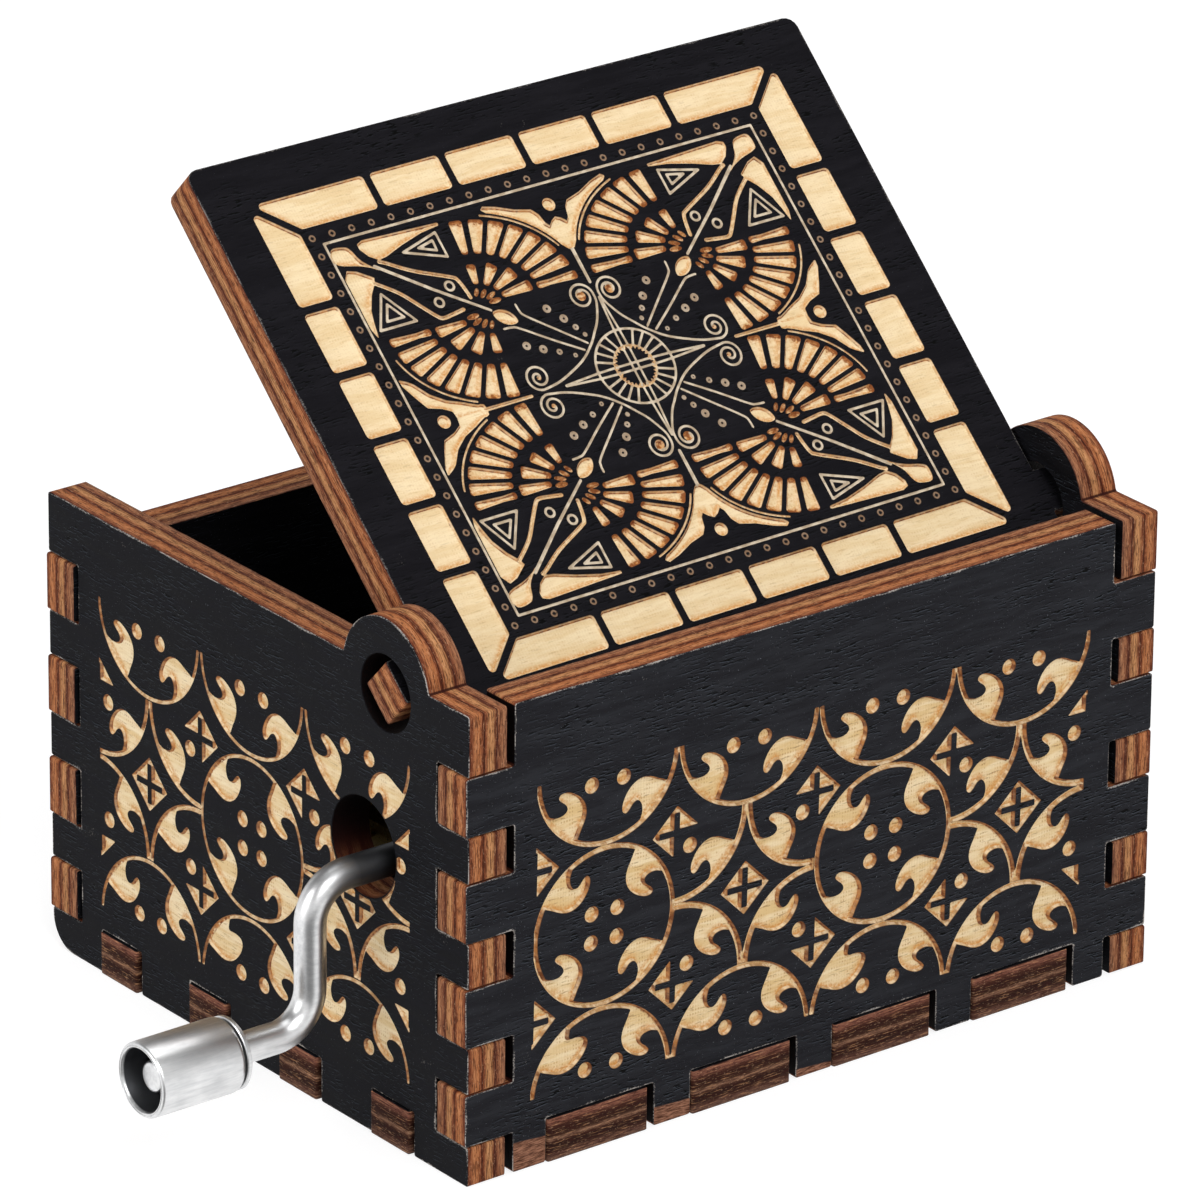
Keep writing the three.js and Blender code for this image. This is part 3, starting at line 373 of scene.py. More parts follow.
        row, column = np.nonzero(across)
        first = np.stack([
            self.x[column] + crossing(field[row, column], field[row, column + 1]),
            self.y[row],
        ], 1)
        number_across = np.full(across.shape, -1)
        number_across[row, column] = np.arange(len(row))
        row, column = np.nonzero(up)
        second = np.stack([
            self.x[column],
            self.y[row] + crossing(field[row, column], field[row + 1, column]),
        ], 1)
        number_up = np.full(up.shape, -1)
        number_up[row, column] = np.arange(len(row)) + len(first)
        cells = np.stack([
            number_across[:-1], number_up[:, 1:], number_across[1:], number_up[:, :-1],
        ], -1).reshape(-1, 4)
        count = (cells >= 0).sum(1)
        two = np.sort(cells[count == 2], 1)[:, 2:]
        four = cells[count == 4].reshape(-1, 2)
        points, pairs = np.concatenate([first, second]), np.concatenate([two, four])
        rank = np.arange(len(points)) * RANK_STEP % RANKS
        for _ in range(2):
            beside = pairs[:, ::-1].ravel()[np.argsort(pairs.ravel(), kind="stable")].reshape(-1, 2)
            start, end = points[beside[:, 0]], points[beside[:, 1]]
            run, off = end - start, points - start
            aside = np.abs(run[:, 0] * off[:, 1] - run[:, 1] * off[:, 0]) / np.hypot(*run.T).clip(1e-6)
            goes = (aside < LINE_SLACK) & (rank > rank[beside].max(1)) & (beside[:, 0] != beside[:, 1])
            pairs = np.concatenate([pairs[~goes[pairs].any(1)], beside[goes]])
            points, rank, pairs = points[~goes], rank[~goes], (np.cumsum(~goes) - 1)[pairs]
        return points, np.unique(np.sort(pairs, 1), axis=0)


def crosses(x, y, ax, ay, bx, by):
    """Whether a ray from each place towards +x crosses a side: its ends lie above and below it."""
    return ((ay > y) != (by > y)) & (x < (bx - ax) * (y - ay) / (by - ay) + ax)


def outline_distance(x, y, points):
    """Signed distance from places to a closed outline, negative inside it."""
    nearest = np.full(x.shape, np.inf)
    inside = np.zeros(x.shape, bool)
    for (ax, ay), (bx, by) in zip(points, np.roll(points, -1, 0)):
        run = (bx - ax) ** 2 + (by - ay) ** 2
        if run == 0:
            continue
        share = np.clip(((x - ax) * (bx - ax) + (y - ay) * (by - ay)) / run, 0, 1)
        nearest = np.minimum(nearest, np.hypot(x - ax - share * (bx - ax), y - ay - share * (by - ay)))
        if ay != by:
            inside ^= crosses(x, y, ax, ay, bx, by)
    return np.where(inside, -nearest, nearest)


def smooth(points, steps=5, closed=True):
    """A smooth curve through points: each span is a cubic set by its four nearest points."""
    points = np.asarray(points, float)
    if closed:
        before, after, further = (np.roll(points, k, 0) for k in (1, -1, -2))
        start = points
    else:
        padded = np.concatenate([points[:1], points, points[-1:]])
        before, start, after, further = padded[:-3], padded[1:-2], padded[2:-1], padded[3:]
    t = np.linspace(0, 1, steps, endpoint=False)[None, :, None]
    p0, p1, p2, p3 = (p[:, None, :] for p in (before, start, after, further))
    curve = p1 + t / 2 * (p2 - p0 + t * (2 * p0 - 5 * p1 + 4 * p2 - p3 + t * (3 * (p1 - p2) + p3 - p0)))
    curve = curve.reshape(-1, 2)
    return curve if closed else np.concatenate([curve, points[-1:]])


def face_loops(node, place):
    """The edge loops of a flat panel's outer face, from the frame's node, in the face's mm.

    The loops run with the material on their left: the outline one way, holes the other.
    """
    mesh = frame["nodes"][node].data
    mesh.calc_loop_triangles()
    points, triangles = np.empty(len(mesh.vertices) * 3), np.empty(len(mesh.loop_triangles) * 3, int)
    mesh.vertices.foreach_get("co", points)
    mesh.loop_triangles.foreach_get("vertices", triangles)
    inverse = np.array(place.inverted())
    points = points.reshape(-1, 3) @ inverse[:3, :3].T + inverse[:3, 3]
    points, same = np.unique(np.round(points, 4), axis=0, return_inverse=True)
    triangles = same.ravel()[triangles.reshape(-1, 3)]
    outer = triangles[(np.abs(points[triangles][..., 2]) < 0.01).all(1)]
    sides = np.concatenate([outer[:, [0, 1]], outer[:, [1, 2]], outer[:, [2, 0]]])
    both = {tuple(s) for s in sides[:, ::-1].tolist()}
    following = dict(s for s in sides.tolist() if tuple(s) not in both)
    loops = []
    while following:
        ring = [next(iter(following))]
        while ring[-1] in following:
            ring.append(following.pop(ring[-1]))
        loops.append(points[ring[:-1], :2])
    return sorted(loops, key=lambda loop: -np.ptp(loop, 0).prod())


def without_straights(loop):
    """A loop less the points that lie on a straight line between their neighbours."""
    before, after = np.roll(loop, 1, 0) - loop, np.roll(loop, -1, 0) - loop
    bend = before[:, 0] * after[:, 1] - before[:, 1] * after[:, 0]
    return loop[np.abs(bend) > 1e-4 * np.hypot(*before.T) * np.hypot(*after.T)]


def round_corners(loop, radius):
    """A loop with an arc of five points in each sharp corner, by a quadratic curve across it."""
    before, after = np.roll(loop, 1, 0) - loop, np.roll(loop, -1, 0) - loop
    length = np.stack([np.hypot(*before.T), np.hypot(*after.T)], 1)
    cosine = (before * after).sum(1) / length.prod(1)
    sharp = cosine > math.cos(math.radians(TAB_BEND))
    reach = np.minimum(radius, length.min(1) * 0.45)[:, None]
    start = loop + before / length[:, :1] * reach
    end = loop + after / length[:, 1:] * reach
    t = np.linspace(0, 1, 5)[None, :, None]
    arcs = (1 - t) ** 2 * start[:, None] + 2 * t * (1 - t) * loop[:, None] + t ** 2 * end[:, None]
    return np.concatenate([arcs[i] if sharp[i] else loop[i:i + 1] for i in range(len(loop))])


def inset(loop, distance):
    """A loop moved to its left by a distance, each point along the bisector of its two sides."""
    before, after = loop - np.roll(loop, 1, 0), np.roll(loop, -1, 0) - loop
    left = [np.stack([-d[:, 1], d[:, 0]], 1) / np.hypot(*d.T)[:, None] for d in (before, after)]
    middle = left[0] + left[1]
    return loop + distance * 2 * middle / np.maximum((middle ** 2).sum(1), 0.5)[:, None]


def inside_loops(points, loops):
    """Whether each point lies in the material: a ray crosses the loops an odd number of times."""
    inside = np.zeros(len(points), bool)
    x, y = points.T
    for loop in loops:
        for (ax, ay), (bx, by) in zip(loop, np.roll(loop, -1, 0)):
            if ay != by:
                inside ^= crosses(x, y, ax, ay, bx, by)
    return inside


def flat_face(loops, lines):
    """Triangles that fill loops and keep to the lines drawn on them.

    Lines are pairs of points and edges. Returns the points, the triangles, and for each point the
    number of the line that it came from, counting the loops first, and its own number among all
    the points given, or -1 for both where two lines cross.
    """
    everything = [(loop, loop_edges(loop)) for loop in loops] + lines
    starts = np.cumsum([0] + [len(line) for line, _ in everything])
    points = np.concatenate([line for line, _ in everything])
    edges = np.concatenate([pairs + start for (_, pairs), start in zip(everything, starts)])
    found = delaunay_2d_cdt([Vector(p) for p in points], edges.tolist(), [], 0, 1e-5)
    flat, triangles = np.array([tuple(v) for v in found[0]]), np.array(found[2])
    first = np.array([ids[0] if ids else -1 for ids in found[3]])
    source = np.searchsorted(starts, first, side="right") - 1
    return flat, triangles[inside_loops(flat[triangles].mean(1), loops)], source, first


def loop_edges(loop):
    """The pairs of neighbours of a loop's points, each with the next and the last with the first."""
    return np.stack([np.arange(len(loop)), np.roll(np.arange(len(loop)), -1)], 1)


def char_and_shade_of_sides(loop, is_hole):
    """How much char and painted shade each point of a loop gets: one in a notch or a narrow
    hole, and zero on outer sides.

    A side counts as in a notch where it stands upright, or faces down, and the panel reaches
    further than it does, by little more than a ply, and also where it stands upright in a slot
    of the foot. Inner corners get part of it, as painted shade in the crease. A wide hole gets
    most at its top, in painted shade, and least at its foot, where the light falls on it.
    """
    if is_hole:
        low, high = loop[:, 1].min(), loop[:, 1].max()
        wide = np.ptp(loop, 0).min() > WIDE_HOLE
        up = (loop[:, 1] - low) / (high - low)
        return np.interp(up, *WIDE_HOLE_CHAR_AND_SHADE) if wide else np.ones(len(loop))
    after = np.roll(loop, -1, 0)
    way = (after - loop)[:, ::-1] * (1, -1)
    middle = (loop + after) / 2
    short = np.where(way > 0, loop.max(0) - middle, middle - loop.min(0))
    sideways = np.abs(way[:, 0]) > np.abs(way[:, 1])
    short = np.where(sideways, short[:, 0], short[:, 1])
    straight_on = np.abs(way).max(1) > 0.99 * np.hypot(*way.T)
    in_foot = sideways & (middle[:, 1] < loop[:, 1].min() + FOOT_SLOT)
    faces_up = ~sideways & (way[:, 1] > 0)
    notched = (short > NOTCH[0]) & ((short < NOTCH[1]) | in_foot) & straight_on & ~faces_up
    came = np.roll(way, 1, 0)
    turn = (came[:, 0] * way[:, 1] - came[:, 1] * way[:, 0]) / np.hypot(*way.T) / np.hypot(*came.T)
    return np.maximum(notched | np.roll(notched, 1), np.where(turn < INNER_CORNER, CORNER_CHAR_AND_SHADE, 0.0))


def taken_off(places, set_on):
    """Places on a face in the engraving's own axes: set_on undone."""
    origin, right, up = set_on(np.array([[0.0, 0.0], [1.0, 0.0], [0.0, 1.0]]))
    return (places - origin) @ np.linalg.inv(np.stack([right - origin, up - origin]))


def ply_panel(
    name, node, body, place, materials, engraving=None, set_on=None, sunk=1.0, char_and_shade_at=char_and_shade_of_sides,
):
    """A panel as one closed mesh: its engraved outer face, worn edges, sawn sides and inner face.

    Its outline comes from the frame's node. The engraving's contours at each pocket step become
    lines of the outer face, sunk by that step's depth, and set_on carries them on to the face.
    Its UV map is in mm: right and up on the faces, along the edge and into the ply on the sides.
    For the materials each point keeps its distance inside the cut, the way out of it, its share
    of the depth, its smoke, how near it is to a worn edge and how much char and painted shade
    it gets in notches, holes and inner corners.
    """
    loops = [round_corners(without_straights(loop), TAB_ROUND) for loop in face_loops(node, place)]
    worn = [inset(loop, EDGE_WORN) for loop in loops]
    rim = [inset(loop, EDGE_RIM if k == 0 else HOLE_RIM) for k, loop in enumerate(loops)]
    lines = [(loop, loop_edges(loop)) for loop in rim]
    first_step = len(worn) + len(lines)
    steps = POCKET_STEPS if engraving else ()
    share = [np.ones(sum(len(loop) for loop in worn + rim))]
    smoke, slope = [np.zeros(len(share[0]))], [np.zeros((len(share[0]), 2))]
    for distance, _ in steps:
        line, pairs = engraving.contour(-distance)
        lines.append((set_on(line) if len(line) else np.zeros((0, 2)), pairs))
        for values, found in zip((share, smoke, slope), engraving.at(line)[1:]):
            values.append(found)
    flat, triangles, source, first = flat_face(worn, lines)
    step_of = np.array([0.0] * first_step + [distance for distance, _ in steps] + [0.0])
    sink_of = np.array([0.0] * first_step + [depth for _, depth in steps] + [0.0])
    share = np.append(np.concatenate(share), 1.0)[first]
    smoke = np.append(np.concatenate(smoke), 0.0)[first]
    slope = np.concatenate(slope + [np.zeros((1, 2))])[first]
    pocket, sink = step_of[source], sink_of[source] * share * sunk
    cut = pocket[triangles].max(1) > 0
    if engraving:
        unsure = np.flatnonzero((source[triangles] == first_step).all(1))
        cut[unsure] = engraving.at(taken_off(flat[triangles[unsure]].mean(1), set_on))[0] < 0
    inner, inner_triangles, *_ = flat_face(worn, [])

    points = [np.column_stack([flat, -sink]), np.column_stack([inner, np.full(len(inner), -PLY)])]
    polygons = [triangles, inner_triangles[:, ::-1] + len(flat)]
    kinds = [np.where(cut, 1, 0), np.zeros(len(inner_triangles), int)]
    corners = [flat[triangles].reshape(-1, 2), inner[inner_triangles[:, ::-1]].reshape(-1, 2)]
    edge = [source == 0, np.zeros(len(inner))]
    total = len(flat) + len(inner)
    char_and_shade = [np.zeros(total)]
    for k, (outer, worn_in) in enumerate(zip(loops, worn)):
        char_and_shade.append(np.tile(char_and_shade_at(outer, k > 0), 4))
        dusty = 1 if k == 0 else 0
        here, after = loop_edges(outer).T
        along = np.concatenate([[0], np.cumsum(np.hypot(*(outer[after] - outer[here]).T))])
        rings = ((worn_in, 0), (outer, EDGE_WORN), (outer, PLY - EDGE_WORN), (worn_in, PLY))
        points += [np.column_stack([line, np.full(len(line), -depth)]) for line, depth in rings]
        edge += [np.repeat((dusty, dusty, 0, 0), len(outer))]
        for row, (upper, lower) in enumerate(zip(rings, rings[1:])):
            start = total + row * len(outer)
            quads = [start + len(outer) + here, start + len(outer) + after, start + after, start + here]
            polygons.append(np.stack(quads, 1))
            kinds.append(np.full(len(outer), 0 if row == 0 else 2))
            deep = [lower[1], lower[1], upper[1], upper[1]]
            far = [along[:-1], along[1:], along[1:], along[:-1]]
            corners.append(np.stack([np.stack(far, 1), np.broadcast_to(deep, (len(outer), 4))], 2))
        total += 4 * len(outer)
    mesh = bpy.data.meshes.new(name)
    mesh.from_pydata(np.concatenate(points).tolist(), [], [p for g in polygons for p in g.tolist()])
    mesh.transform(place)
    mesh.polygons.foreach_set("material_index", np.concatenate(kinds).astype(np.int32))
    pad = [np.zeros(total - len(flat))]
    for title, values in (
        ("pocket", [pocket] + pad), ("share", [share] + pad), ("smoke", [smoke] + pad),
        ("edge", edge), ("char_and_shade", char_and_shade),
    ):
        attribute = mesh.attributes.new(title, "FLOAT", "POINT")
        attribute.data.foreach_set("value", np.concatenate(values).astype(np.float32))
    outward = np.zeros((total, 3), np.float32)
    outward[:len(flat), :2] = slope
    mesh.attributes.new("outward", "FLOAT_VECTOR", "POINT").data.foreach_set("vector", outward.ravel())
    mapped = np.concatenate([c.reshape(-1, 2) for c in corners]).astype(np.float32)
    mesh.uv_layers.new(name="mm").uv.foreach_set("vector", mapped.ravel())
    return finish_piece(name, mesh, body, materials, node)


def merged(mesh, distance, outwards=False):
    """Joins a mesh's points within a distance, and turns its faces outwards if asked."""
    whole = bmesh.new()
    whole.from_mesh(mesh)
    bmesh.ops.remove_doubles(whole, verts=whole.verts, dist=distance * MM)
    if outwards:
        bmesh.ops.recalc_face_normals(whole, faces=whole.faces)
    whole.to_mesh(mesh)
    whole.free()


def finish_piece(name, mesh, body, materials, *nodes):
    """Makes a mesh a piece of the object: merged, smooth but for its sharp edges, and riding."""
    merged(mesh, 1e-4)
    mesh.polygons.foreach_set("use_smooth", np.ones(len(mesh.polygons), bool))
    mesh.set_sharp_from_angle(angle=math.radians(SHARP_ANGLE))
    for material in materials:
        mesh.materials.append(material)
    piece = bpy.data.objects.new(name, mesh)
    bpy.context.scene.collection.objects.link(piece)
    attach(piece, body)
    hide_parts(*nodes)
    return piece


def face_place(right, up, origin):
    """The frame of a flat face: its two directions, the way it faces, and its origin, in mm."""
    right, up = Vector(right), Vector(up)
    turned = Matrix((right, up, right.cross(up))).transposed().to_4x4()
    return Matrix.Translation(Vector(origin) * MM) @ turned @ Matrix.Scale(MM, 4)


def laid(centre, degrees, tall=1.0):
    """A function that sizes an engraving upwards, turns it and moves it to its centre on a face."""
    c, s = math.cos(math.radians(degrees)), math.sin(math.radians(degrees))
    return lambda points: points @ np.array([[c, s], [-s * tall, c * tall]]) + np.array(centre)


# Scroll ornament of the four walls: rings and half rings a pitch apart, with comma leaves on
# their inner side, crossed diamonds and dots between them. The laser clears it to pale wood.
SCROLL_PITCH = 12.95
SCROLL_RING = 6.25
LONG_STEMS, END_STEMS = (0.44, 0.54), (0.32, 0.42)
SCROLL_STEP = 0.1
SCROLL_TOP = 12.7
SCROLL_FOOT = -12.5
LEAF = smooth([
    (-5.6, 2.95), (-4.6, 2.28), (-3.75, 1.92), (-3.0, 1.9), (-2.3, 2.22), (-1.75, 2.82),
    (-1.4, 3.6), (-1.42, 4.2), (-1.72, 4.42), (-2.05, 4.18), (-2.4, 3.75), (-2.8, 3.62),
    (-3.12, 3.95), (-3.22, 4.6), (-3.05, 5.5), (-4.45, 4.45),
])
PLAIN_LEAF = smooth([
    (-5.6, 2.75), (-4.7, 2.15), (-3.6, 1.85), (-2.5, 2.12), (-1.65, 2.9), (-1.25, 3.75),
    (-1.45, 4.3), (-2.2, 4.5), (-2.95, 4.55), (-2.95, 5.55), (-4.45, 4.45),
])
DIAMOND_ACROSS, DIAMOND_UP = 2.25, 2.2
DIAMOND_BAR = (0.25, 1.6)
DIAMOND_ROW = 6.08
DIAMOND_DROP = 0.3
DIAMOND_DOT = (1.25, 1.3)
DOT = 0.64
DOT_SMOKE = 0.35
RING_DOT = 1.17
CUP_DOTS = (1.45, 1.4)
ARCH_DOTS = (1.43, 1.6)
QUARTERS = ((-1, 1), (1, 1), (1, -1), (-1, -1))


def leaf(engraving, centre, quarter, outline=LEAF):
    """A leaf in one quarter of a ring: the upper left one turned by quarter turns about the centre."""
    c, s = ((1, 0), (0, 1), (-1, 0), (0, -1))[QUARTERS.index(quarter)]
    engraving.shape(outline @ np.array([[c, -s], [s, c]]) + np.array(centre))


def diamond(engraving, centre, open_quarter=None):
    """A crossed diamond: four triangles joined at their tips, or three and a dot."""
    where, (x, y) = engraving.near(centre, DIAMOND_ACROSS)
    x, y = x - centre[0], y - centre[1]
    slant = math.hypot(1 / DIAMOND_ACROSS, 1 / DIAMOND_UP)
    distance = (np.abs(x) / DIAMOND_ACROSS + np.abs(y) / DIAMOND_UP - 1) / slant
    half, reach = DIAMOND_BAR
    upright = np.maximum(np.abs(x) - half, np.abs(y) - reach)
    flat = np.maximum(np.abs(y) - half, np.abs(x) - reach)
    distance = np.maximum(distance, -np.minimum(upright, flat))
    if open_quarter:
        sx, sy = open_quarter
        quarter = np.maximum(-sx * x - half, -sy * y - half)
        distance = np.maximum(distance, -quarter)
        dot = np.hypot(x - sx * DIAMOND_DOT[0], y - sy * DIAMOND_DOT[1]) - DOT
        distance = np.minimum(distance, dot)
    engraving.join(where, distance)


def scroll(columns, first_is_ring, left, right, stem, arc_stem):
    """The scroll ornament, centred on its middle row, with rings and stars in turn."""
    half = (columns - 1) / 2
    work = Engraving((left - 0.5, SCROLL_FOOT - 0.5), (right + 0.5, SCROLL_TOP + 0.5), SCROLL_STEP)
    pitch, ring = SCROLL_PITCH, SCROLL_RING
    for i in range(-1, columns + 1):
        x = (i - half) * pitch
        is_ring = (i % 2 == 0) == first_is_ring
        if is_ring:
            work.ring((x, 0), ring, stem)
            for quarter in QUARTERS:
                leaf(work, (x, 0), quarter)
            for sx, sy in QUARTERS:
                work.disc((x + sx * RING_DOT, sy * RING_DOT), DOT, DOT_SMOKE)
        else:
            diamond(work, (x, -DIAMOND_DROP))
            for sx, sy in QUARTERS:
                corner = (x - sx * pitch / 2, -sy * pitch / 2)
                work.ring(corner, ring, arc_stem, (sx, sy))
                leaf(work, corner, (sx, sy))
        work.ring((x, pitch), ring, stem, (0, -1))
        work.ring((x, -pitch), ring, stem, (0, 1))
        for sx in (-1, 1):
            leaf(work, (x, pitch), (sx, -1))
            work.disc((x + sx * CUP_DOTS[0], pitch - CUP_DOTS[1]), DOT, DOT_SMOKE)
            work.disc((x + sx * ARCH_DOTS[0], -pitch + ARCH_DOTS[1]), DOT, DOT_SMOKE)
        leaf(work, (x, -pitch), (-1, 1), PLAIN_LEAF if is_ring else LEAF)
        leaf(work, (x, -pitch), (1, 1))
        toward_star = 1 if is_ring else -1
        for sy in (-1, 1):
            diamond(work, (x + pitch / 2, sy * DIAMOND_ROW - DIAMOND_DROP), (toward_star, -sy))
    x, y = np.meshgrid(work.x, work.y)
    beyond = left - x, x - right, SCROLL_FOOT - y, y - SCROLL_TOP
    work.keep(np.max(beyond, axis=0))
    return work


# Plywood materials. The faces are stained black over fine pores, with pale dust on the worn edges
# and a painted highlight below each pore. Engraved places show pale wood with a scorched rim,
# walls browned on one side by char and painted shade, and painted light on the floor by the other.
# The sawn sides show the plies, darkened in notches and holes by char and painted shade.
FOOT_STRIP_END, FOOT_STRIP_SLOPE = 10.6, 0.0615
HATCH_PITCH = (0.25, 0.31)


def shared_effect(name, inputs, outputs):
    """An empty node group that takes coordinates and more inputs, and gives the named numbers."""
    tree = bpy.data.node_groups.new(name, "ShaderNodeTree")
    for title, kind in (("Vector", "Vector"), *inputs):
        tree.interface.new_socket(title, in_out="INPUT", socket_type="NodeSocket" + kind)
    for title in outputs:
        tree.interface.new_socket(title, in_out="OUTPUT", socket_type="NodeSocketFloat")
    n = Nodes(tree)
    return tree, n, n.add("NodeGroupInput").outputs


def surface(n, base, roughness, height, bump, bump_distance, **sockets):
    """Ends a material in a Principled shader, with a bump of its own height."""
    bumps = {"Strength": bump, "Distance": bump_distance, "Height": height}
    normal = n.add("ShaderNodeBump", bumps).outputs[0]
    inputs = {"Base Color": base, "Roughness": roughness, "Normal": normal}
    inputs.update({title.replace("_", " "): value for title, value in sockets.items()})
    shader = n.add("ShaderNodeBsdfPrincipled", inputs).outputs[0]
    n.add("ShaderNodeOutputMaterial", {"Surface": shader})


wood_grain, n, given = shared_effect("wood_grain", [("Fineness", "Float")], ("Streak", "Fibre"))
bent = n.add("ShaderNodeCombineXYZ", {"Y": n.noise(given["Vector"], 0.22, 1.0)}).outputs[0]
along = n.vector("ADD", n.vector("MULTIPLY", given["Vector"], (0.12, 1.0, 1.0)), bent)
coarse, fine = (n.math("MULTIPLY", given["Fineness"], scale) for scale in (1.1, 9.0))
n.ends(Streak=n.noise(along, coarse, 3.0, 0.6), Fibre=n.noise(along, fine, 3.0, 0.7))

edge_dust, n, given = shared_effect("edge_dust", [("Edge", "Float")], ("Dust",))
ragged = n.math("MULTIPLY_ADD", n.noise(given["Vector"], 6.0, 3.0, 0.7), 2.6, given["Edge"])
ragged = n.math("MULTIPLY_ADD", n.noise(given["Vector"], 0.4, 2.0), 2.6, ragged)
n.ends(Dust=n.remap(n.math("SUBTRACT", ragged, 3.4), 0.0, 0.6))


def black_stain(name, dark, light, foot_strip=False, highlight_and_flecks=1.0, dusty=1.0, relief=0.5):
    """Black stained face: open pores along the grain in patches, flecks, a painted highlight below each
    pore, and ragged dusty edges.
    """
    material, n = new_material(name)
    uv = n.add("ShaderNodeUVMap", uv_map="mm").outputs[0]
    grain = n.group(wood_grain, Vector=uv, Fineness=1.0)
    base = n.between(grain["Streak"], 0.35, 0.7, dark, light)
    patches = n.remap(n.noise(n.scaled(uv, (0.12, 0.3, 1.0)), 1.0, 2.0, 0.6), 0.42, 0.58)
    open_grain = n.math("MULTIPLY_ADD", patches, 0.85, 0.15)
    dashes, below = (
        n.noise(n.scaled(uv, (0.95, 6.2, 1.0), (0, 0, 0.02), (0, shift, 0)), 1.0, 2.0, 0.6)
        for shift in (0, 0.5)
    )
    pores = n.math("MULTIPLY", n.remap(dashes, 0.55, 0.6), open_grain)
    # Painted highlight: a pale blue-grey line on the lower lip of each pore, where light from above
    # would catch it.
    painted_lip_highlight = n.math("MULTIPLY", n.remap(below, 0.56, 0.62), patches)
    base = n.mix(n.math("MULTIPLY", painted_lip_highlight, 0.28 * highlight_and_flecks), base, "5d6570")
    base = n.mix(pores, base, "020202")
    base = n.tint(base, n.noise(uv, 7.0, 2.0, 0.7), 0.68, 0.74, 0.6 * highlight_and_flecks, "9aa0a8")
    dust = n.group(edge_dust, Vector=uv, Edge=n.attribute("edge"))["Dust"]
    base = n.mix(n.math("MULTIPLY", dust, 0.85 * dusty), base, "b0a9a2")
    if foot_strip:
        place = n.add("ShaderNodeSeparateXYZ", (uv,)).outputs
        top = n.math("MULTIPLY_ADD", place["X"], -FOOT_STRIP_SLOPE, FOOT_STRIP_SLOPE * FOOT_STRIP_END)
        top = n.math("MULTIPLY_ADD", n.math("SUBTRACT", grain["Streak"], 0.5), 0.5, top)
        strip = n.remap(n.math("SUBTRACT", top, place["Y"]), 0.0, 0.12)
        base = n.mix(strip, base, n.between(grain["Fibre"], 0.35, 0.65, "4a2a1c", "a3745c"))
    height = n.math("MULTIPLY_ADD", pores, -1.6, n.math("MULTIPLY", grain["Fibre"], open_grain))
    roughness = n.remap(grain["Streak"], 0.3, 0.7, 0.55, 0.7)
    surface(n, base, roughness, height, relief, 0.08 * MM, Specular_IOR_Level=0.06)
    return material


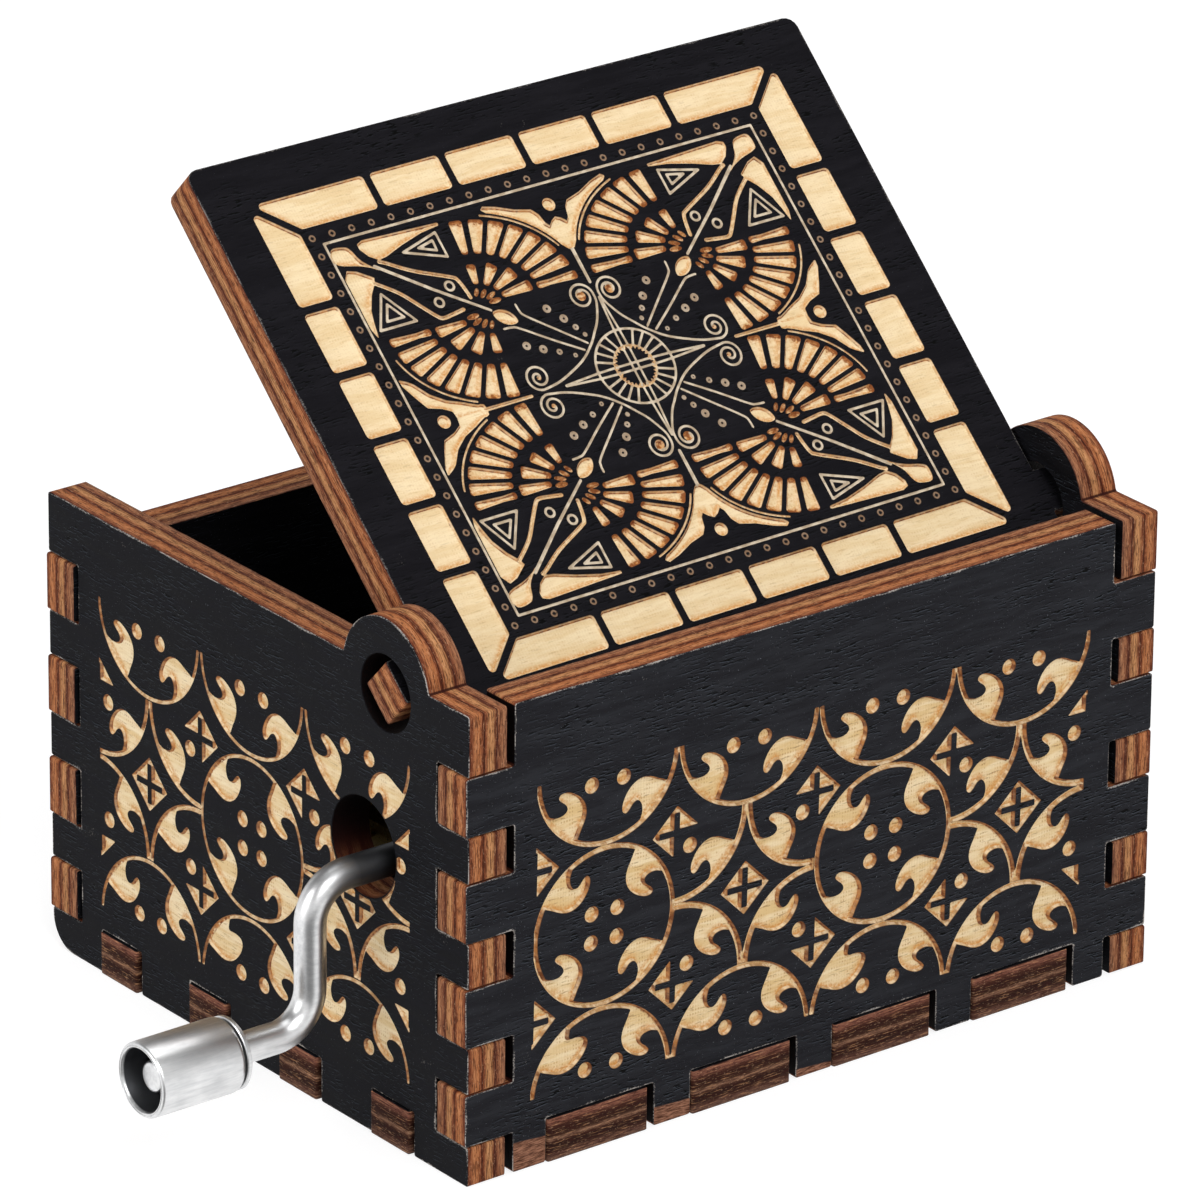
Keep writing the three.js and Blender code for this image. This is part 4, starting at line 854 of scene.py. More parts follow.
def engraved(name, light, dark, mottle, char_and_shade_way, painted_light_way, band_char_and_shade, pale_wall, tan_wall):
    """Engraved wood: pale grain under a fine hatch, with walls browned where they face one way, by char
    and painted shade.

    The floor beside walls that face another way is tinted orange, painted light over the scorch, and a
    single pass is dull.
    """
    material, n = new_material(name)
    uv = n.add("ShaderNodeUVMap", uv_map="mm").outputs[0]
    grain = n.group(wood_grain, Vector=uv, Fineness=1.2)
    depth, share, smoke = (n.attribute(title) for title in ("pocket", "share", "smoke"))
    outward = n.add("ShaderNodeAttribute", attribute_name="outward").outputs["Vector"]

    def facing(way, patches, low, high):
        """How far the wall beside a place faces a way, made uneven by patches."""
        toward = n.vector("DOT_PRODUCT", outward, (*way, 0))
        return n.remap(n.math("MULTIPLY_ADD", n.math("SUBTRACT", patches, 0.5), 1.8, toward), low, high)

    bare = n.between(grain["Streak"], 0.35, 0.65, dark, light)
    bare = n.tint(bare, grain["Fibre"], 0.5, 0.7, 0.3, "c99c63")
    across = n.add("ShaderNodeSeparateXYZ", (uv,)).outputs
    hatch, lines = (
        n.math("SINE", n.math("MULTIPLY", across[axis], 2 * math.pi / pitch))
        for axis, pitch in zip("XY", HATCH_PITCH)
    )
    patches = n.remap(n.noise(uv, 1.3, 3.0, 0.6), 0.45, 0.62)
    weave = n.math("MULTIPLY", n.remap(n.math("ADD", hatch, lines), 0.0, 1.6), patches)
    bare = n.mix(n.math("MULTIPLY", weave, mottle), bare, "b07c3e")
    pores = n.noise(n.scaled(uv, (0.7, 5.5, 1.0), (0, 0, 0.03), (4.0, 1.0, 0)), 1.0, 2.0, 0.55)
    bare = n.tint(bare, pores, 0.62, 0.67, mottle, "8d6237")

    blotches = n.noise(uv, 1.1, 3.0, 0.6)
    fine = n.noise(uv, 4.5, 2.0, 0.6)
    # Painted light: the floor beside the walls on the lit side is tinted orange over the scorch.
    glow = n.math("MULTIPLY", facing(painted_light_way, blotches, 0.05, 0.8), n.remap(depth, 0.7, 0.1))
    glow = n.math("MULTIPLY", glow, n.remap(fine, 0.35, 0.6, 0.35, 0.95))
    colour = n.mix(glow, bare, "cc8b43")
    walls = n.between(n.noise(uv, 1.7, 3.0, 0.6), 0.4, 0.6, pale_wall, tan_wall)
    colour = n.mix(n.remap(depth, 0.16, 0.09), colour, walls)
    shifted = n.scaled(uv, (1, 1, 1), (0, 0, 0), (3.1, 7.7, 0))
    uneven = n.noise(shifted, 1.2, 3.0, 0.6)
    # Partly laser char, partly painted shade: walls on the side away from the light, and the foot of
    # those walls, turn brown.
    charred_and_shaded = facing(char_and_shade_way, uneven, 0.05, 0.75)
    reach = n.math("MULTIPLY_ADD", blotches, 0.44, -0.08)
    band = n.remap(n.math("SUBTRACT", depth, reach), 0.06, -0.04)
    foot = n.math("MULTIPLY", n.remap(depth, 0.06, 0.1), n.remap(depth, 0.2, 0.13))
    wall_char_and_shade = n.math("MULTIPLY", charred_and_shaded, n.math("MAXIMUM", n.math("MULTIPLY", band, band_char_and_shade), foot))
    smoky = n.math("MULTIPLY_ADD", n.math("SUBTRACT", n.noise(shifted, 2.6, 2.0, 0.6), 0.5), 1.3, smoke)
    smoky = n.math("MULTIPLY", n.remap(smoky, 0.25, 0.95), n.remap(smoke, 0.0, 0.15))
    colour = n.mix(n.math("MULTIPLY", smoky, 0.85), colour, "bf7a2e")
    colour = n.mix(n.remap(smoky, 0.5, 0.95, 0.0, 0.78), colour, "74391d")
    brown = n.between(n.noise(uv, 2.0, 3.0, 0.6), 0.4, 0.6, "b87c48", "70391f")
    colour = n.mix(wall_char_and_shade, colour, brown)
    colour = n.mix(n.remap(depth, 0.025, 0.0), colour, "5d4030")
    single = n.between(n.noise(uv, 1.2, 2.0, 0.5), 0.35, 0.65, "d2c3ac", "b09d84")
    single = n.mix(n.math("MULTIPLY", smoke, 0.8), single, "75543c")
    single = n.mix(n.remap(depth, 0.02, 0.0), single, "5a4837")
    colour = n.mix(n.remap(share, 0.75, 0.55), colour, single)
    height = n.math("MULTIPLY_ADD", hatch, 0.22, n.math("MULTIPLY_ADD", lines, 0.18, grain["Fibre"]))
    surface(n, colour, 0.8, height, 0.35, 0.05 * MM, Specular_IOR_Level=0.1)
    return material


long_engraving = engraved(
    "engraved_long_walls", "efdab2", "dfc08a", 0.55, (0.8, 0.6), (0.2, -1.0), 0.85, "ead3ad", "bf9768",
)
end_engraving = engraved(
    "engraved_end_walls", "f2dfba", "e3c796", 0.4, (-0.8, 0.6), (-0.5, -0.85), 0.8, "e9d2ac", "cba679",
)


def sawn_plies(name, bands):
    """Sawn plywood edge: bands of plies by depth below the face, fibres and grit, and char with painted
    shade, down to black, in notches and holes.
    """
    material, n = new_material(name)
    uv = n.add("ShaderNodeUVMap", uv_map="mm").outputs[0]
    depth = n.math("DIVIDE", n.add("ShaderNodeSeparateXYZ", (uv,)).outputs["Y"], PLY)
    wander = n.math("SUBTRACT", n.noise(n.scaled(uv, (0.5, 0.8, 1.0)), 1.0, 3.0, 0.6), 0.5)
    base = n.ramp(n.math("MULTIPLY_ADD", wander, 0.09, depth), bands)
    fibres = n.noise(n.scaled(uv, (0.7, 9.0, 1.0)), 1.0, 3.0, 0.6)
    grit = n.noise(n.scaled(uv, (2.6, 8.0, 1.0)), 1.0, 2.0, 0.6)
    for noise, low, high, share, tone in (
        (fibres, 0.48, 0.62, 0.75, "38170e"), (fibres, 0.45, 0.33, 0.45, "cb9468"),
        (grit, 0.56, 0.66, 0.6, "28110b"), (grit, 0.4, 0.3, 0.35, "d6ac88"),
    ):
        base = n.tint(base, noise, low, high, share, tone)
    # Char and painted shade: notch and hole sides and inner corners go red-brown, then nearly black.
    char_and_shade = n.attribute("char_and_shade")
    base = n.mix(n.remap(char_and_shade, 0.0, 0.8), base, "3a140c")
    char_and_shade = n.math("MULTIPLY", n.remap(char_and_shade, 0.4, 1.0), n.remap(grit, 0.3, 0.6, 0.9, 1.0))
    base = n.mix(char_and_shade, base, "080404")
    surface(n, base, 0.75, n.math("ADD", fibres, grit), 0.5, 0.06 * MM, Specular_IOR_Level=0.1)
    return material


wall_edge = sawn_plies("wall_ply_edge", [
    (0.0, "5a2c1d"), (0.07, "7c4229"), (0.18, "b5744a"), (0.29, "a9683f"), (0.35, "7c4026"),
    (0.39, "3f1a10"), (0.44, "86492d"), (0.54, "bd8658"), (0.64, "ad784e"), (0.69, "6d3922"),
    (0.73, "45201a"), (0.78, "7f4a31"), (0.90, "a06c4c"), (1.0, "6b4536"),
])
wall_face = black_stain("black_stain", "0e0e11", "17171b", highlight_and_flecks=0.7, relief=0.25)


# Four walls. The scroll ornament is laid out from the middle of each face, and on the crank's
# wall it stops short of the crank's hole.
HALF_LENGTH, HALF_DEPTH = 32.0, 26.0
LONG_LEFT, LONG_RIGHT = -25.8, 25.8
END_LEFT, END_RIGHT = -19.3, 19.3
LONG_MIDDLE, LONG_TURN, LONG_TALL = (-0.3, 17.05), -1.15, 0.98
END_MIDDLE = (-0.3, 18.03)
CRANK_HOLE_MARGIN = 0.1

rear_face = black_stain("black_stain_over_foot", "1c1c20", "292a2e", foot_strip=True)
rear_laid, front_laid = laid(LONG_MIDDLE, LONG_TURN, LONG_TALL), laid(LONG_MIDDLE, 0)
end_laid = laid(END_MIDDLE, 0)
long_scroll = scroll(4, True, LONG_LEFT, LONG_RIGHT, *LONG_STEMS)
end_scroll = scroll(3, False, END_LEFT, END_RIGHT, *END_STEMS)
rear = (0, -HALF_DEPTH, 0), rear_face, long_engraving, long_scroll, rear_laid, LONG_SUNK
front = (0, HALF_DEPTH, 0), wall_face, long_engraving, long_scroll, front_laid, LONG_SUNK
plain_end = (HALF_LENGTH, 0, 0), wall_face, end_engraving, end_scroll, end_laid, END_SUNK
crank_end = (-HALF_LENGTH, 0, 0), wall_face, end_engraving, end_scroll, end_laid, END_SUNK
for name, right, (origin, face, wood, engraving, set_on, sunk) in (
    ("rear", (1, 0, 0), rear), ("front", (-1, 0, 0), front),
    ("plain_end", (0, 1, 0), plain_end), ("crank_end", (0, -1, 0), crank_end),
):
    place, node = face_place(right, (0, 0, 1), origin), name + "_panel"
    if name == "crank_end":
        hole = max(face_loops(node, place)[1:], key=lambda loop: np.ptp(loop, 0).prod())
        middle = (hole.max(0) + hole.min(0)) / 2 - END_MIDDLE
        radius = np.ptp(hole, 0).max() / 2 + CRANK_HOLE_MARGIN
        x, y = np.meshgrid(engraving.x, engraving.y)
        engraving.keep(radius - np.hypot(x - middle[0], y - middle[1]))
    materials = [face, wood, wall_edge]
    ply_panel("wall_" + name, node, "root", place, materials, engraving, set_on, sunk)


# Base. The same plywood, let into the walls by its tabs, whose sawn ends show at their feet.
base_edge = sawn_plies("base_ply_edge", [
    (0.0, "705548"), (0.13, "5e4034"), (0.24, "2e1a14"), (0.38, "24110c"), (0.45, "45291e"),
    (0.51, "8a6650"), (0.58, "3c251a"), (0.70, "28120d"), (0.80, "43241a"), (0.90, "784b3c"),
    (1.0, "845645"),
])
base = ply_panel(
    "base", "base_panel", "root", face_place((1, 0, 0), (0, -1, 0), (0, 0, 0)),
    [wall_face, long_engraving, base_edge],
)


# Lid. A single ply panel on two tenons that turn in the ears of the end walls. It is engraved with
# a border of tiles, rows of dots, a compass rosette, volutes, and eight fans in four pairs.
LID_OPEN = math.radians(43)
LID_PIVOT = (0, -16.1, 35.4)
LID_STEP = 0.1
LID_MIDDLE, LID_TURN = (0.03, 18.25), 0.65
LID_FOOT, LID_FOOT_DARKER = 0.3, 0.4
TILE_INNER, TILE_OUTER = (21.4, 17.35), (24.5, 20.2)
TILE_GAP, MITRE_GAP, TILE_ROUND = 0.6, 0.6, 0.36
TILE_PITCH_LONG, TILE_PITCH_SHORT = 6.87, 5.6
BORDER_DOTS, BORDER_DOT_PLACE, BORDER_DOT, BORDER_DOT_STEM = (12, 11), (20.65, 16.45), 0.22, 0.15
FRAME_LINE, FRAME_STEM = (19.95, 15.8), 0.22
ROSE_OUTER, ROSE_STEM, ROSE_BARS = (3.33, 3.1), 0.21, (21, 36, 51.5, 67)
ROSE_INNER, ROSE_BAND = 1.69, 0.27
NEEDLES = ((0.0, 5.95), (6.45, 0.0))
NEEDLE_STEM, NEEDLE_SPREAD = 0.2, 0.27
NEEDLE_SIDE = ((0, 1), (0.28, 1), (0.52, 0.85), (0.78, 0.46), (1, 0.1))
ROSE_TEETH, TOOTH = 32, 0.13
COIL_RADIUS, COIL_CORE, COIL_FALL, COIL_POINTS = 1.05, 0.12, 1.35, 48
VOLUTE_STEM, FEELER_STEM = 0.21, 0.2
BEAD_RING, BEAD_STEM, BEAD_SMOKE = 0.6, 0.68, 0.5
FAN_MIDDLE, FAN_FAR, FAN_NEAR = (9.6, 8.1), (9.0, 6.85), (5.2, 4.0)
FAN_FIRST, FAN_STEP, FAN_REACH = 98.0, 11.6, 0.99
FAN_FILL_NEAR, FAN_FILL_FAR, PETAL_ROUND, PETAL_SMOKE, LEAF_SMOKE = 0.64, 0.8, 0.24, 0.34, 0.75
FAN_FILLS = (0.84, 0.95, 1.0, 1.0, 1.0, 1.0, 0.95, 0.68)
FAN_INNER_TIER = (
    ((7.67, 8.2), (4.87, 8.38), 0.95), ((8.0, 8.82), (5.72, 9.75), 1.1),
    ((8.55, 9.27), (7.15, 10.72), 1.0), ((9.28, 9.55), (8.95, 11.2), 0.86),
)
FAN_LEAVES = (
    ((8.44, 7.93), 177, 1.15, 0.46), ((8.58, 8.41), 159, 1.05, 0.4), ((9.1, 8.7), 140, 0.95, 0.4),
    ((9.61, 8.94), 128, 0.8, 0.38),
)
FAN_ARCS, FAN_ARC_REACH = ((112, 158), (118, 168)), 1.035
FAN_ARC_STEM, FAN_ARC_CLEAR = 0.18, 0.14
FAN_GAP, FAN_GAP_HALF, FAN_GAP_BEYOND = 1.015, 0.02, 12
FAN_TURN_ABOUT = (9.67, 7.565)
WING_ROUND, WING_DOT = 0.06, 0.55
STALK, STALK_END, TRIANGLE_STEM = 0.34, 0.28, 0.22


def circle(degrees):
    """Points at some angles on a circle of radius one about the origin."""
    angle = np.radians(degrees)
    return np.stack([np.cos(angle), np.sin(angle)], -1)


def tile(work, points):
    """A tile with slightly rounded corners: its outline drawn in, then grown by the same distance."""
    work.shape(inset(np.asarray(points, float), TILE_ROUND), TILE_ROUND)


def tiles(work):
    """The border's tiles, its mitred corner tiles, the dots inside them and the thin frame line."""
    (a0, b0), (a1, b1), half = TILE_INNER, TILE_OUTER, TILE_GAP / 2
    slant = MITRE_GAP / 2 * math.hypot(1, (b1 - b0) / (a1 - a0))
    for k in (-1, 0, 1, 2):
        left, right = k * TILE_PITCH_LONG + half, (k + 1) * TILE_PITCH_LONG - half
        if k < 2:
            tile(work, [(left, b0), (right, b0), (right, b1), (left, b1)])
        else:
            tile(work, [(left, b0), (a0 - 0.9 * slant, b0), (a1 - 0.9 * slant, b1), (left, b1)])
        low, high = k * TILE_PITCH_SHORT + half, (k + 1) * TILE_PITCH_SHORT - half
        if k < 2:
            tile(work, [(a0, low), (a1, low), (a1, high), (a0, high)])
        else:
            tile(work, [(a0, low), (a1, low), (a1, b1 - slant), (a0, b0 - slant)])
    work.drawn_smoke, work.drawn_share = 1.0, LINE_SHARE
    column, row = BORDER_DOT_PLACE
    across, up = (np.arange(count) + 0.5 for count in BORDER_DOTS)
    places = [(x * column / across[-1], row) for x in across]
    places += [(column, y * row / up[-1]) for y in up[:-1]]
    for place in places:
        work.ring(place, BORDER_DOT, BORDER_DOT_STEM)
    a, b = FRAME_LINE
    work.drawn_smoke = 0.0
    work.stroke([(-1, b), (a, b), (a, -1)], FRAME_STEM)
    work.drawn_share = 1.0


def rosette(work):
    """A thin oval, bars from it to a round ring that is toothed inside, and long split needles."""
    work.drawn_share = LINE_SHARE
    work.stroke(circle(np.linspace(0, 90, 30)) * ROSE_OUTER, ROSE_STEM)
    for degrees in ROSE_BARS:
        way = circle(degrees)
        work.stroke([way * (ROSE_INNER + ROSE_BAND / 2), way * ROSE_OUTER], ROSE_STEM)
    for tip in NEEDLES:
        way = np.array(tip) / math.hypot(*tip)
        across = np.array([way[1], -way[0]]) * NEEDLE_SPREAD
        for sign in (-1, 1):
            side = [np.array(tip) * t + sign * across * spread for t, spread in NEEDLE_SIDE]
            work.stroke(side, NEEDLE_STEM)
    work.drawn_share = 1.0
    where, (x, y) = work.near((0, 0), ROSE_INNER + ROSE_BAND)
    radius = np.hypot(x, y)
    teeth = TOOTH * np.cos(ROSE_TEETH * np.arctan2(y, x))
    outside, inside = radius - ROSE_INNER - ROSE_BAND / 2, ROSE_INNER - ROSE_BAND / 2 + teeth - radius
    work.join(where, np.maximum(outside, inside))


def coil(middle, outer_angle, turn):
    """A spiral from its outer end inwards: the radius falls slowly at first, then faster."""
    t = np.linspace(0, 1, COIL_POINTS)
    reach = COIL_CORE + (COIL_RADIUS - COIL_CORE) * (1 - t ** COIL_FALL)
    return np.array(middle) + reach[:, None] * circle(outer_angle + turn * t)


def volutes(work):
    """The long curve with a volute at each end, two feelers beside it and two rows of beads."""
    work.drawn_share = LINE_SHARE
    sweep = smooth([
        (0.25, 6.38), (0.35, 5.6), (1.07, 4.25), (1.82, 3.375), (2.32, 2.82), (2.82, 2.375),
        (3.57, 1.79), (4.57, 1.25), (6.55, 0.5), (8.25, 0.2),
    ], 6, False)
    upper = coil((1.3, 6.38), 180, -680)[::-1]
    right = coil((8.25, 1.25), -90, 640)
    work.stroke(np.concatenate([upper[:-1], sweep[:-1], right]), VOLUTE_STEM)
    for feeler in (
        [(2.8, 2.75), (4.7, 4.4), (6.65, 6.1), (6.95, 6.6), (7.0, 7.2)],
        [(3.35, 2.3), (5.5, 3.75), (7.65, 5.3), (8.25, 5.55), (8.95, 5.6)],
    ):
        work.stroke(smooth(feeler, 4, False), FEELER_STEM)
    work.drawn_smoke = BEAD_SMOKE
    for place, radius in (
        ((4.65, 6.2), 0.38), ((3.7, 5.1), 0.38), ((3.1, 4.2), 0.28), ((2.65, 3.45), 0.22),
        ((7.85, 3.85), 0.38), ((6.65, 3.25), 0.38), ((5.45, 2.7), 0.28), ((4.3, 2.1), 0.22),
    ):
        work.ring(place, radius * BEAD_RING, radius * BEAD_STEM)
    work.drawn_share, work.drawn_smoke = 1.0, 0.0
    work.disc((1.33, 6.4), 0.4, 0.7)
    work.disc((8.2, 1.2), 0.2, 0.4)


def petal(work, near, far, width):
    """A petal from a narrow round end to a wide one with corners rounded by the same radius."""
    near, far = np.asarray(near, float), np.asarray(far, float)
    across = (far - near)[::-1] * (-1, 1) / math.hypot(*(far - near))
    corners = [near + across * PETAL_ROUND, near - across * PETAL_ROUND]
    corners += [far - across * width / 2, far + across * width / 2]
    work.shape(inset(np.array(corners), PETAL_ROUND), PETAL_ROUND, (near, far))


def turned_round(points):
    """Places on a pair's first fan carried to its second, by half a turn about the pair's middle."""
    return 2 * np.array(FAN_TURN_ABOUT) - np.asarray(points, float)


def on_ellipse(size, degrees):
    """Points of a fan's ellipse: its middle, and its half sizes times the circle's points."""
    return np.array(FAN_MIDDLE) + circle(degrees) * size


def fans(work):
    """Two fans: an outer tier of petals in even steps of angle, an inner tier, and small leaves.

    A petal of the outer tier fills its share of the ellipse between two steps, at either end.
    """
    near, far = np.array((FAN_NEAR, FAN_FAR)) * FAN_REACH
    for put in (np.asarray, turned_round):
        work.drawn_smoke = PETAL_SMOKE
        for k, share in enumerate(FAN_FILLS):
            angle = FAN_FIRST + FAN_STEP * k
            at_near, at_far = FAN_FILL_NEAR * share, FAN_FILL_FAR * share
            fills = [(near, at_near), (near, -at_near), (far, -at_far), (far, at_far)]
            corners = [on_ellipse(size, angle + fill * FAN_STEP / 2) for size, fill in fills]
            ends = put([on_ellipse(near, angle), on_ellipse(far, angle)])
            work.shape(inset(put(np.array(corners)), PETAL_ROUND), PETAL_ROUND, ends)
        for inner, outer, width in FAN_INNER_TIER:
            petal(work, put(inner), put(outer), width)
        work.drawn_smoke = LEAF_SMOKE
        for middle, degrees, length, width in FAN_LEAVES:
            oval = circle(np.linspace(0, 360, 17)) * (length / 2, width / 2)
            work.shape(put(laid(middle, degrees)(oval)))
        work.drawn_smoke = 0.0


def corner_pieces(work):
    """The winged corner shape, the bud and the stalks, nested triangles, and two small rings."""
    work.shape(smooth([
        (16.4, 12.65), (17.45, 13.75), (17.85, 14.75), (18.3, 15.15), (19.45, 15.2), (19.65, 14.15),
        (19.2, 13.75), (18.05, 13.45), (17.05, 13.05),
    ], 4))
    work.drawn_share = LINE_SHARE
    work.stroke([(9.2, 7.3), (12.9, 10.05), (16.65, 13.05)], 0.24, 0.3)
    work.drawn_share = 1.0
    x, y = circle(np.linspace(0, 360, 24, endpoint=False)).T
    work.shape(laid((8.32, 6.47), 35)(np.stack([1.05 * x, 0.6 * y * np.abs(y) ** 0.3], 1)))
    work.shape([
        (9.85, 15.0), (16.6, 15.25), (17.1, 15.05), (17.1, 14.65), (16.65, 13.95), (16.0, 13.5),
        (15.25, 13.6), (13.55, 14.15), (11.55, 14.65), (9.85, 14.85),
    ], WING_ROUND)
    work.stroke(smooth([
        (16.1, 13.3), (15.62, 13.07), (13.81, 11.93), (11.08, 10.68), (10.62, 10.34), (10.4, 9.55),
        (10.28, 8.7),
    ], 4, False), STALK)
    work.shape([
        (18.3, 13.0), (19.05, 13.25), (19.5, 12.6), (19.5, 8.4), (19.3, 7.7), (19.1, 8.7),
        (18.8, 9.8), (18.1, 11.0), (17.4, 11.8), (17.2, 12.2),
    ], WING_ROUND)
    work.stroke(smooth([
        (17.56, 11.93), (15.85, 10.57), (14.72, 9.2), (13.81, 8.07), (13.35, 7.73), (12.44, 7.8),
        (11.35, 7.95),
    ], 4, False), STALK)
    work.drawn_share = LINE_SHARE
    for outline in (
        [(10.4, 14.35), (13.8, 13.5), (10.4, 12.25), (10.4, 14.35)],
        [(10.95, 13.8), (12.4, 13.5), (11.0, 12.95), (10.95, 13.8)],
        [(17.3, 10.85), (15.55, 8.1), (18.85, 8.1), (17.3, 10.85)],
        [(17.25, 9.95), (16.4, 8.65), (17.95, 8.65), (17.25, 9.95)],
    ):
        work.stroke(outline, TRIANGLE_STEM)
    for place in ((11.5, 10.0), (13.0, 8.98)):
        work.ring(place, 0.36, TRIANGLE_STEM)
    work.drawn_share = 1.0


def middle_pieces(work):
    """The winged shape at the middle of each side, its stalk, and the dot cut free of it."""
    work.shape([
        (-0.1, 13.0), (0.4, 12.75), (0.8, 12.35), (1.1, 12.7), (1.3, 13.5), (1.7, 14.0),
        (3.05, 14.35), (4.45, 14.95), (5.5, 15.25), (5.75, 15.05), (5.4, 14.7), (4.15, 14.0),
        (2.85, 13.05), (1.65, 11.95), (0.85, 11.0), (0.25, 10.3), (-0.1, 10.2),
    ], WING_ROUND)
    work.drawn_share = LINE_SHARE
    work.stroke([(0, 10.6), (0, 7.3)], STALK, STALK_END)
    work.drawn_share = 1.0
    work.disc((0, 14.05), WING_DOT)
    work.shape([
        (16.35, -0.1), (16.45, 0.6), (17.2, 1.05), (18.3, 1.4), (18.75, 2.2), (19.4, 3.5),
        (19.45, 4.0), (18.9, 3.7), (18.5, 3.4), (17.65, 2.3), (16.55, 1.5), (15.05, 0.9),
        (13.75, 0.4), (13.7, -0.1),
    ], WING_ROUND)
    work.stroke([(14.0, 0), (9.55, 0)], STALK, STALK_END)
    work.disc((17.6, 0), WING_DOT)


def fan_arcs(work):
    """A thin arc along each fan's far side, with black kept between it, petals and winged shapes."""
    size = np.array(FAN_FAR)
    places = np.stack(np.meshgrid(work.x, work.y), -1)
    for put, (first, last) in zip((np.asarray, turned_round), FAN_ARCS):
        x, y = np.moveaxis((put(places) - FAN_MIDDLE) / size, -1, 0)
        beside = FAN_GAP_HALF - np.abs(np.hypot(x, y) - FAN_GAP)
        off = np.abs(np.degrees(np.arctan2(y, x)) - (first + last) / 2)
        within = (last - first) / 2 + FAN_GAP_BEYOND - off
        work.keep(np.minimum(beside * size.mean(), within * 0.1))
        line = on_ellipse(size * FAN_ARC_REACH, np.linspace(first, last, 16))
        work.stroke(put(line), FAN_ARC_STEM, clear=FAN_ARC_CLEAR)


reach = np.array(TILE_OUTER) + 1
lid_engraving = Engraving(-reach, reach, LID_STEP)
for layer, cells in (
    ((tiles,), 0), ((rosette,), 1), ((volutes, fans, corner_pieces, middle_pieces, fan_arcs), 2),
):
    quarter = Engraving((0, 0), reach, LID_STEP)
    for draw in layer:
        draw(quarter)
    mirrored = []
    for part in (quarter.field, quarter.share, quarter.smoke):
        half = np.concatenate([part[:, :0:-1], part], 1)
        mirrored.append(np.roll(np.concatenate([half[:0:-1], half]), -cells, 1))
    nearer = mirrored[0] < lid_engraving.field
    lid_engraving.field = np.minimum(lid_engraving.field, mirrored[0])
    lid_engraving.share = np.where(nearer, mirrored[1], lid_engraving.share)
    lid_engraving.smoke = np.where(nearer, mirrored[2], lid_engraving.smoke)

lid_face = black_stain("black_lid", "111014", "18171b", highlight_and_flecks=0.15, dusty=0.4, relief=0.12)
lid_wood = engraved(
    "engraved_lid", "eed8b0", "e4c99b", 0.18, (0.1, 1.0), (0.0, -1.0), 0.3, "e3caa4", "cfab7c",
)
lid_up = Vector((0, math.cos(LID_OPEN), math.sin(LID_OPEN)))
lid_facing = Vector((1, 0, 0)).cross(lid_up)
lid_place = face_place((1, 0, 0), lid_up, Vector(LID_PIVOT) + lid_facing * PLY / 2)
# The lid's sawn edge is drawn darker along its lowest side.
lid = ply_panel(
    "lid", "lid_panel", "lid", lid_place, [lid_face, lid_wood, wall_edge],
    lid_engraving, laid(LID_MIDDLE, LID_TURN), LID_SUNK,
    lambda loop, is_hole: np.where(loop[:, 1] < loop[:, 1].min() + LID_FOOT, LID_FOOT_DARKER, 0.0),
)


# Movement. A cast bedplate carries a steel comb, a brass drum with pins, its moulded gear and the
# brass worm on the crank's shaft, in bent sheet brackets, all held by slotted screws.
metal_marks, n, given = shared_effect(
    "metal_marks", [("Stretch", "Vector")], ("Marks", "Mottle", "Grain"),
)
n.ends(
    Marks=n.noise(n.vector("MULTIPLY", given["Vector"], given["Stretch"]), 1.0, 3.0, 0.65),
    Mottle=n.noise(given["Vector"], 700.0, 2.0, 0.5),
    Grain=n.noise(given["Vector"], 9000.0, 2.0, 0.6),
)


def metal(name, dark, light, stretch, roughness, bump, metallic=1.0, grain=0.0):
    """Metal with fine marks along its stretch, soft mottling and grain, darker where it is shaded."""
    material, n = new_material(name)
    place = n.add("ShaderNodeTexCoord").outputs["Object"]
    marks = n.group(metal_marks, Vector=place, Stretch=stretch)
    both = n.math("MULTIPLY_ADD", marks["Mottle"], 0.4, n.math("MULTIPLY", marks["Marks"], 0.6))
    base = n.between(both, 0.2, 0.8, dark, light)
    shade = n.attribute("shade")
    base = n.mix(shade, base, "5c5d60")
    rough = n.remap(both, 0.2, 0.8, roughness + 0.05, roughness - 0.05)
    rough = n.math("MULTIPLY_ADD", shade, 0.15, rough)
    height = n.math("MULTIPLY_ADD", marks["Grain"], grain, marks["Marks"])
    surface(n, base, rough, height, bump, 0.02 * MM, Metallic=metallic)
    return material


movement_finishes = {
    "cast_bedplate": metal("cast_bedplate", "7f8286", "a3a6a9", (3000, 3000, 3000), 0.48, 0.5),
    "spring_steel": metal("spring_steel", "84888e", "a8acb2", (300, 9000, 3000), 0.3, 0.2),
    "bracket_steel": metal("bracket_steel", "9b9c9e", "b9babb", (1500, 5000, 5000), 0.34, 0.2),
    "screw_steel": metal("screw_steel", "a0a0a2", "c3c3c4", (4000, 4000, 4000), 0.28, 0.15),
    "drum_brass": metal("drum_brass", "a8823c", "cfa95a", (6000, 500, 500), 0.27, 0.25),
    "gear_plastic": metal("gear_plastic", "d8d2c0", "e6e1d2", (2500, 2500, 2500), 0.45, 0.1, 0.0),
}
for subpart in frame["record"]["subparts"]:
    if subpart["material_slot"] in movement_finishes:
        mesh = frame["nodes"][subpart["node"]].data
        mesh.materials.clear()
        mesh.materials.append(movement_finishes[subpart["material_slot"]])


# Crank. One steel wire, bent twice, turns the worm. A turned steel knob runs free on its end
# between a thin collar and a washer, and the wire's end is spread over the washer.
CRANK_ANGLES = np.linspace(0, 360, 64, endpoint=False)
CRANK_Y = -14.4
SHAFT_Z, HANDLE_Z = 21.2984, 9.9784
UPRIGHT_X = -37.5
SHAFT_INNER_X, HANDLE_END_X = -23.3, -51.6
WIRE_RADIUS, BEND_RADIUS = 1.19, 3.2
WIRE_END_ROUND = 0.25
SHADED_FROM, SHADED_OVER = -37.2, 3.5


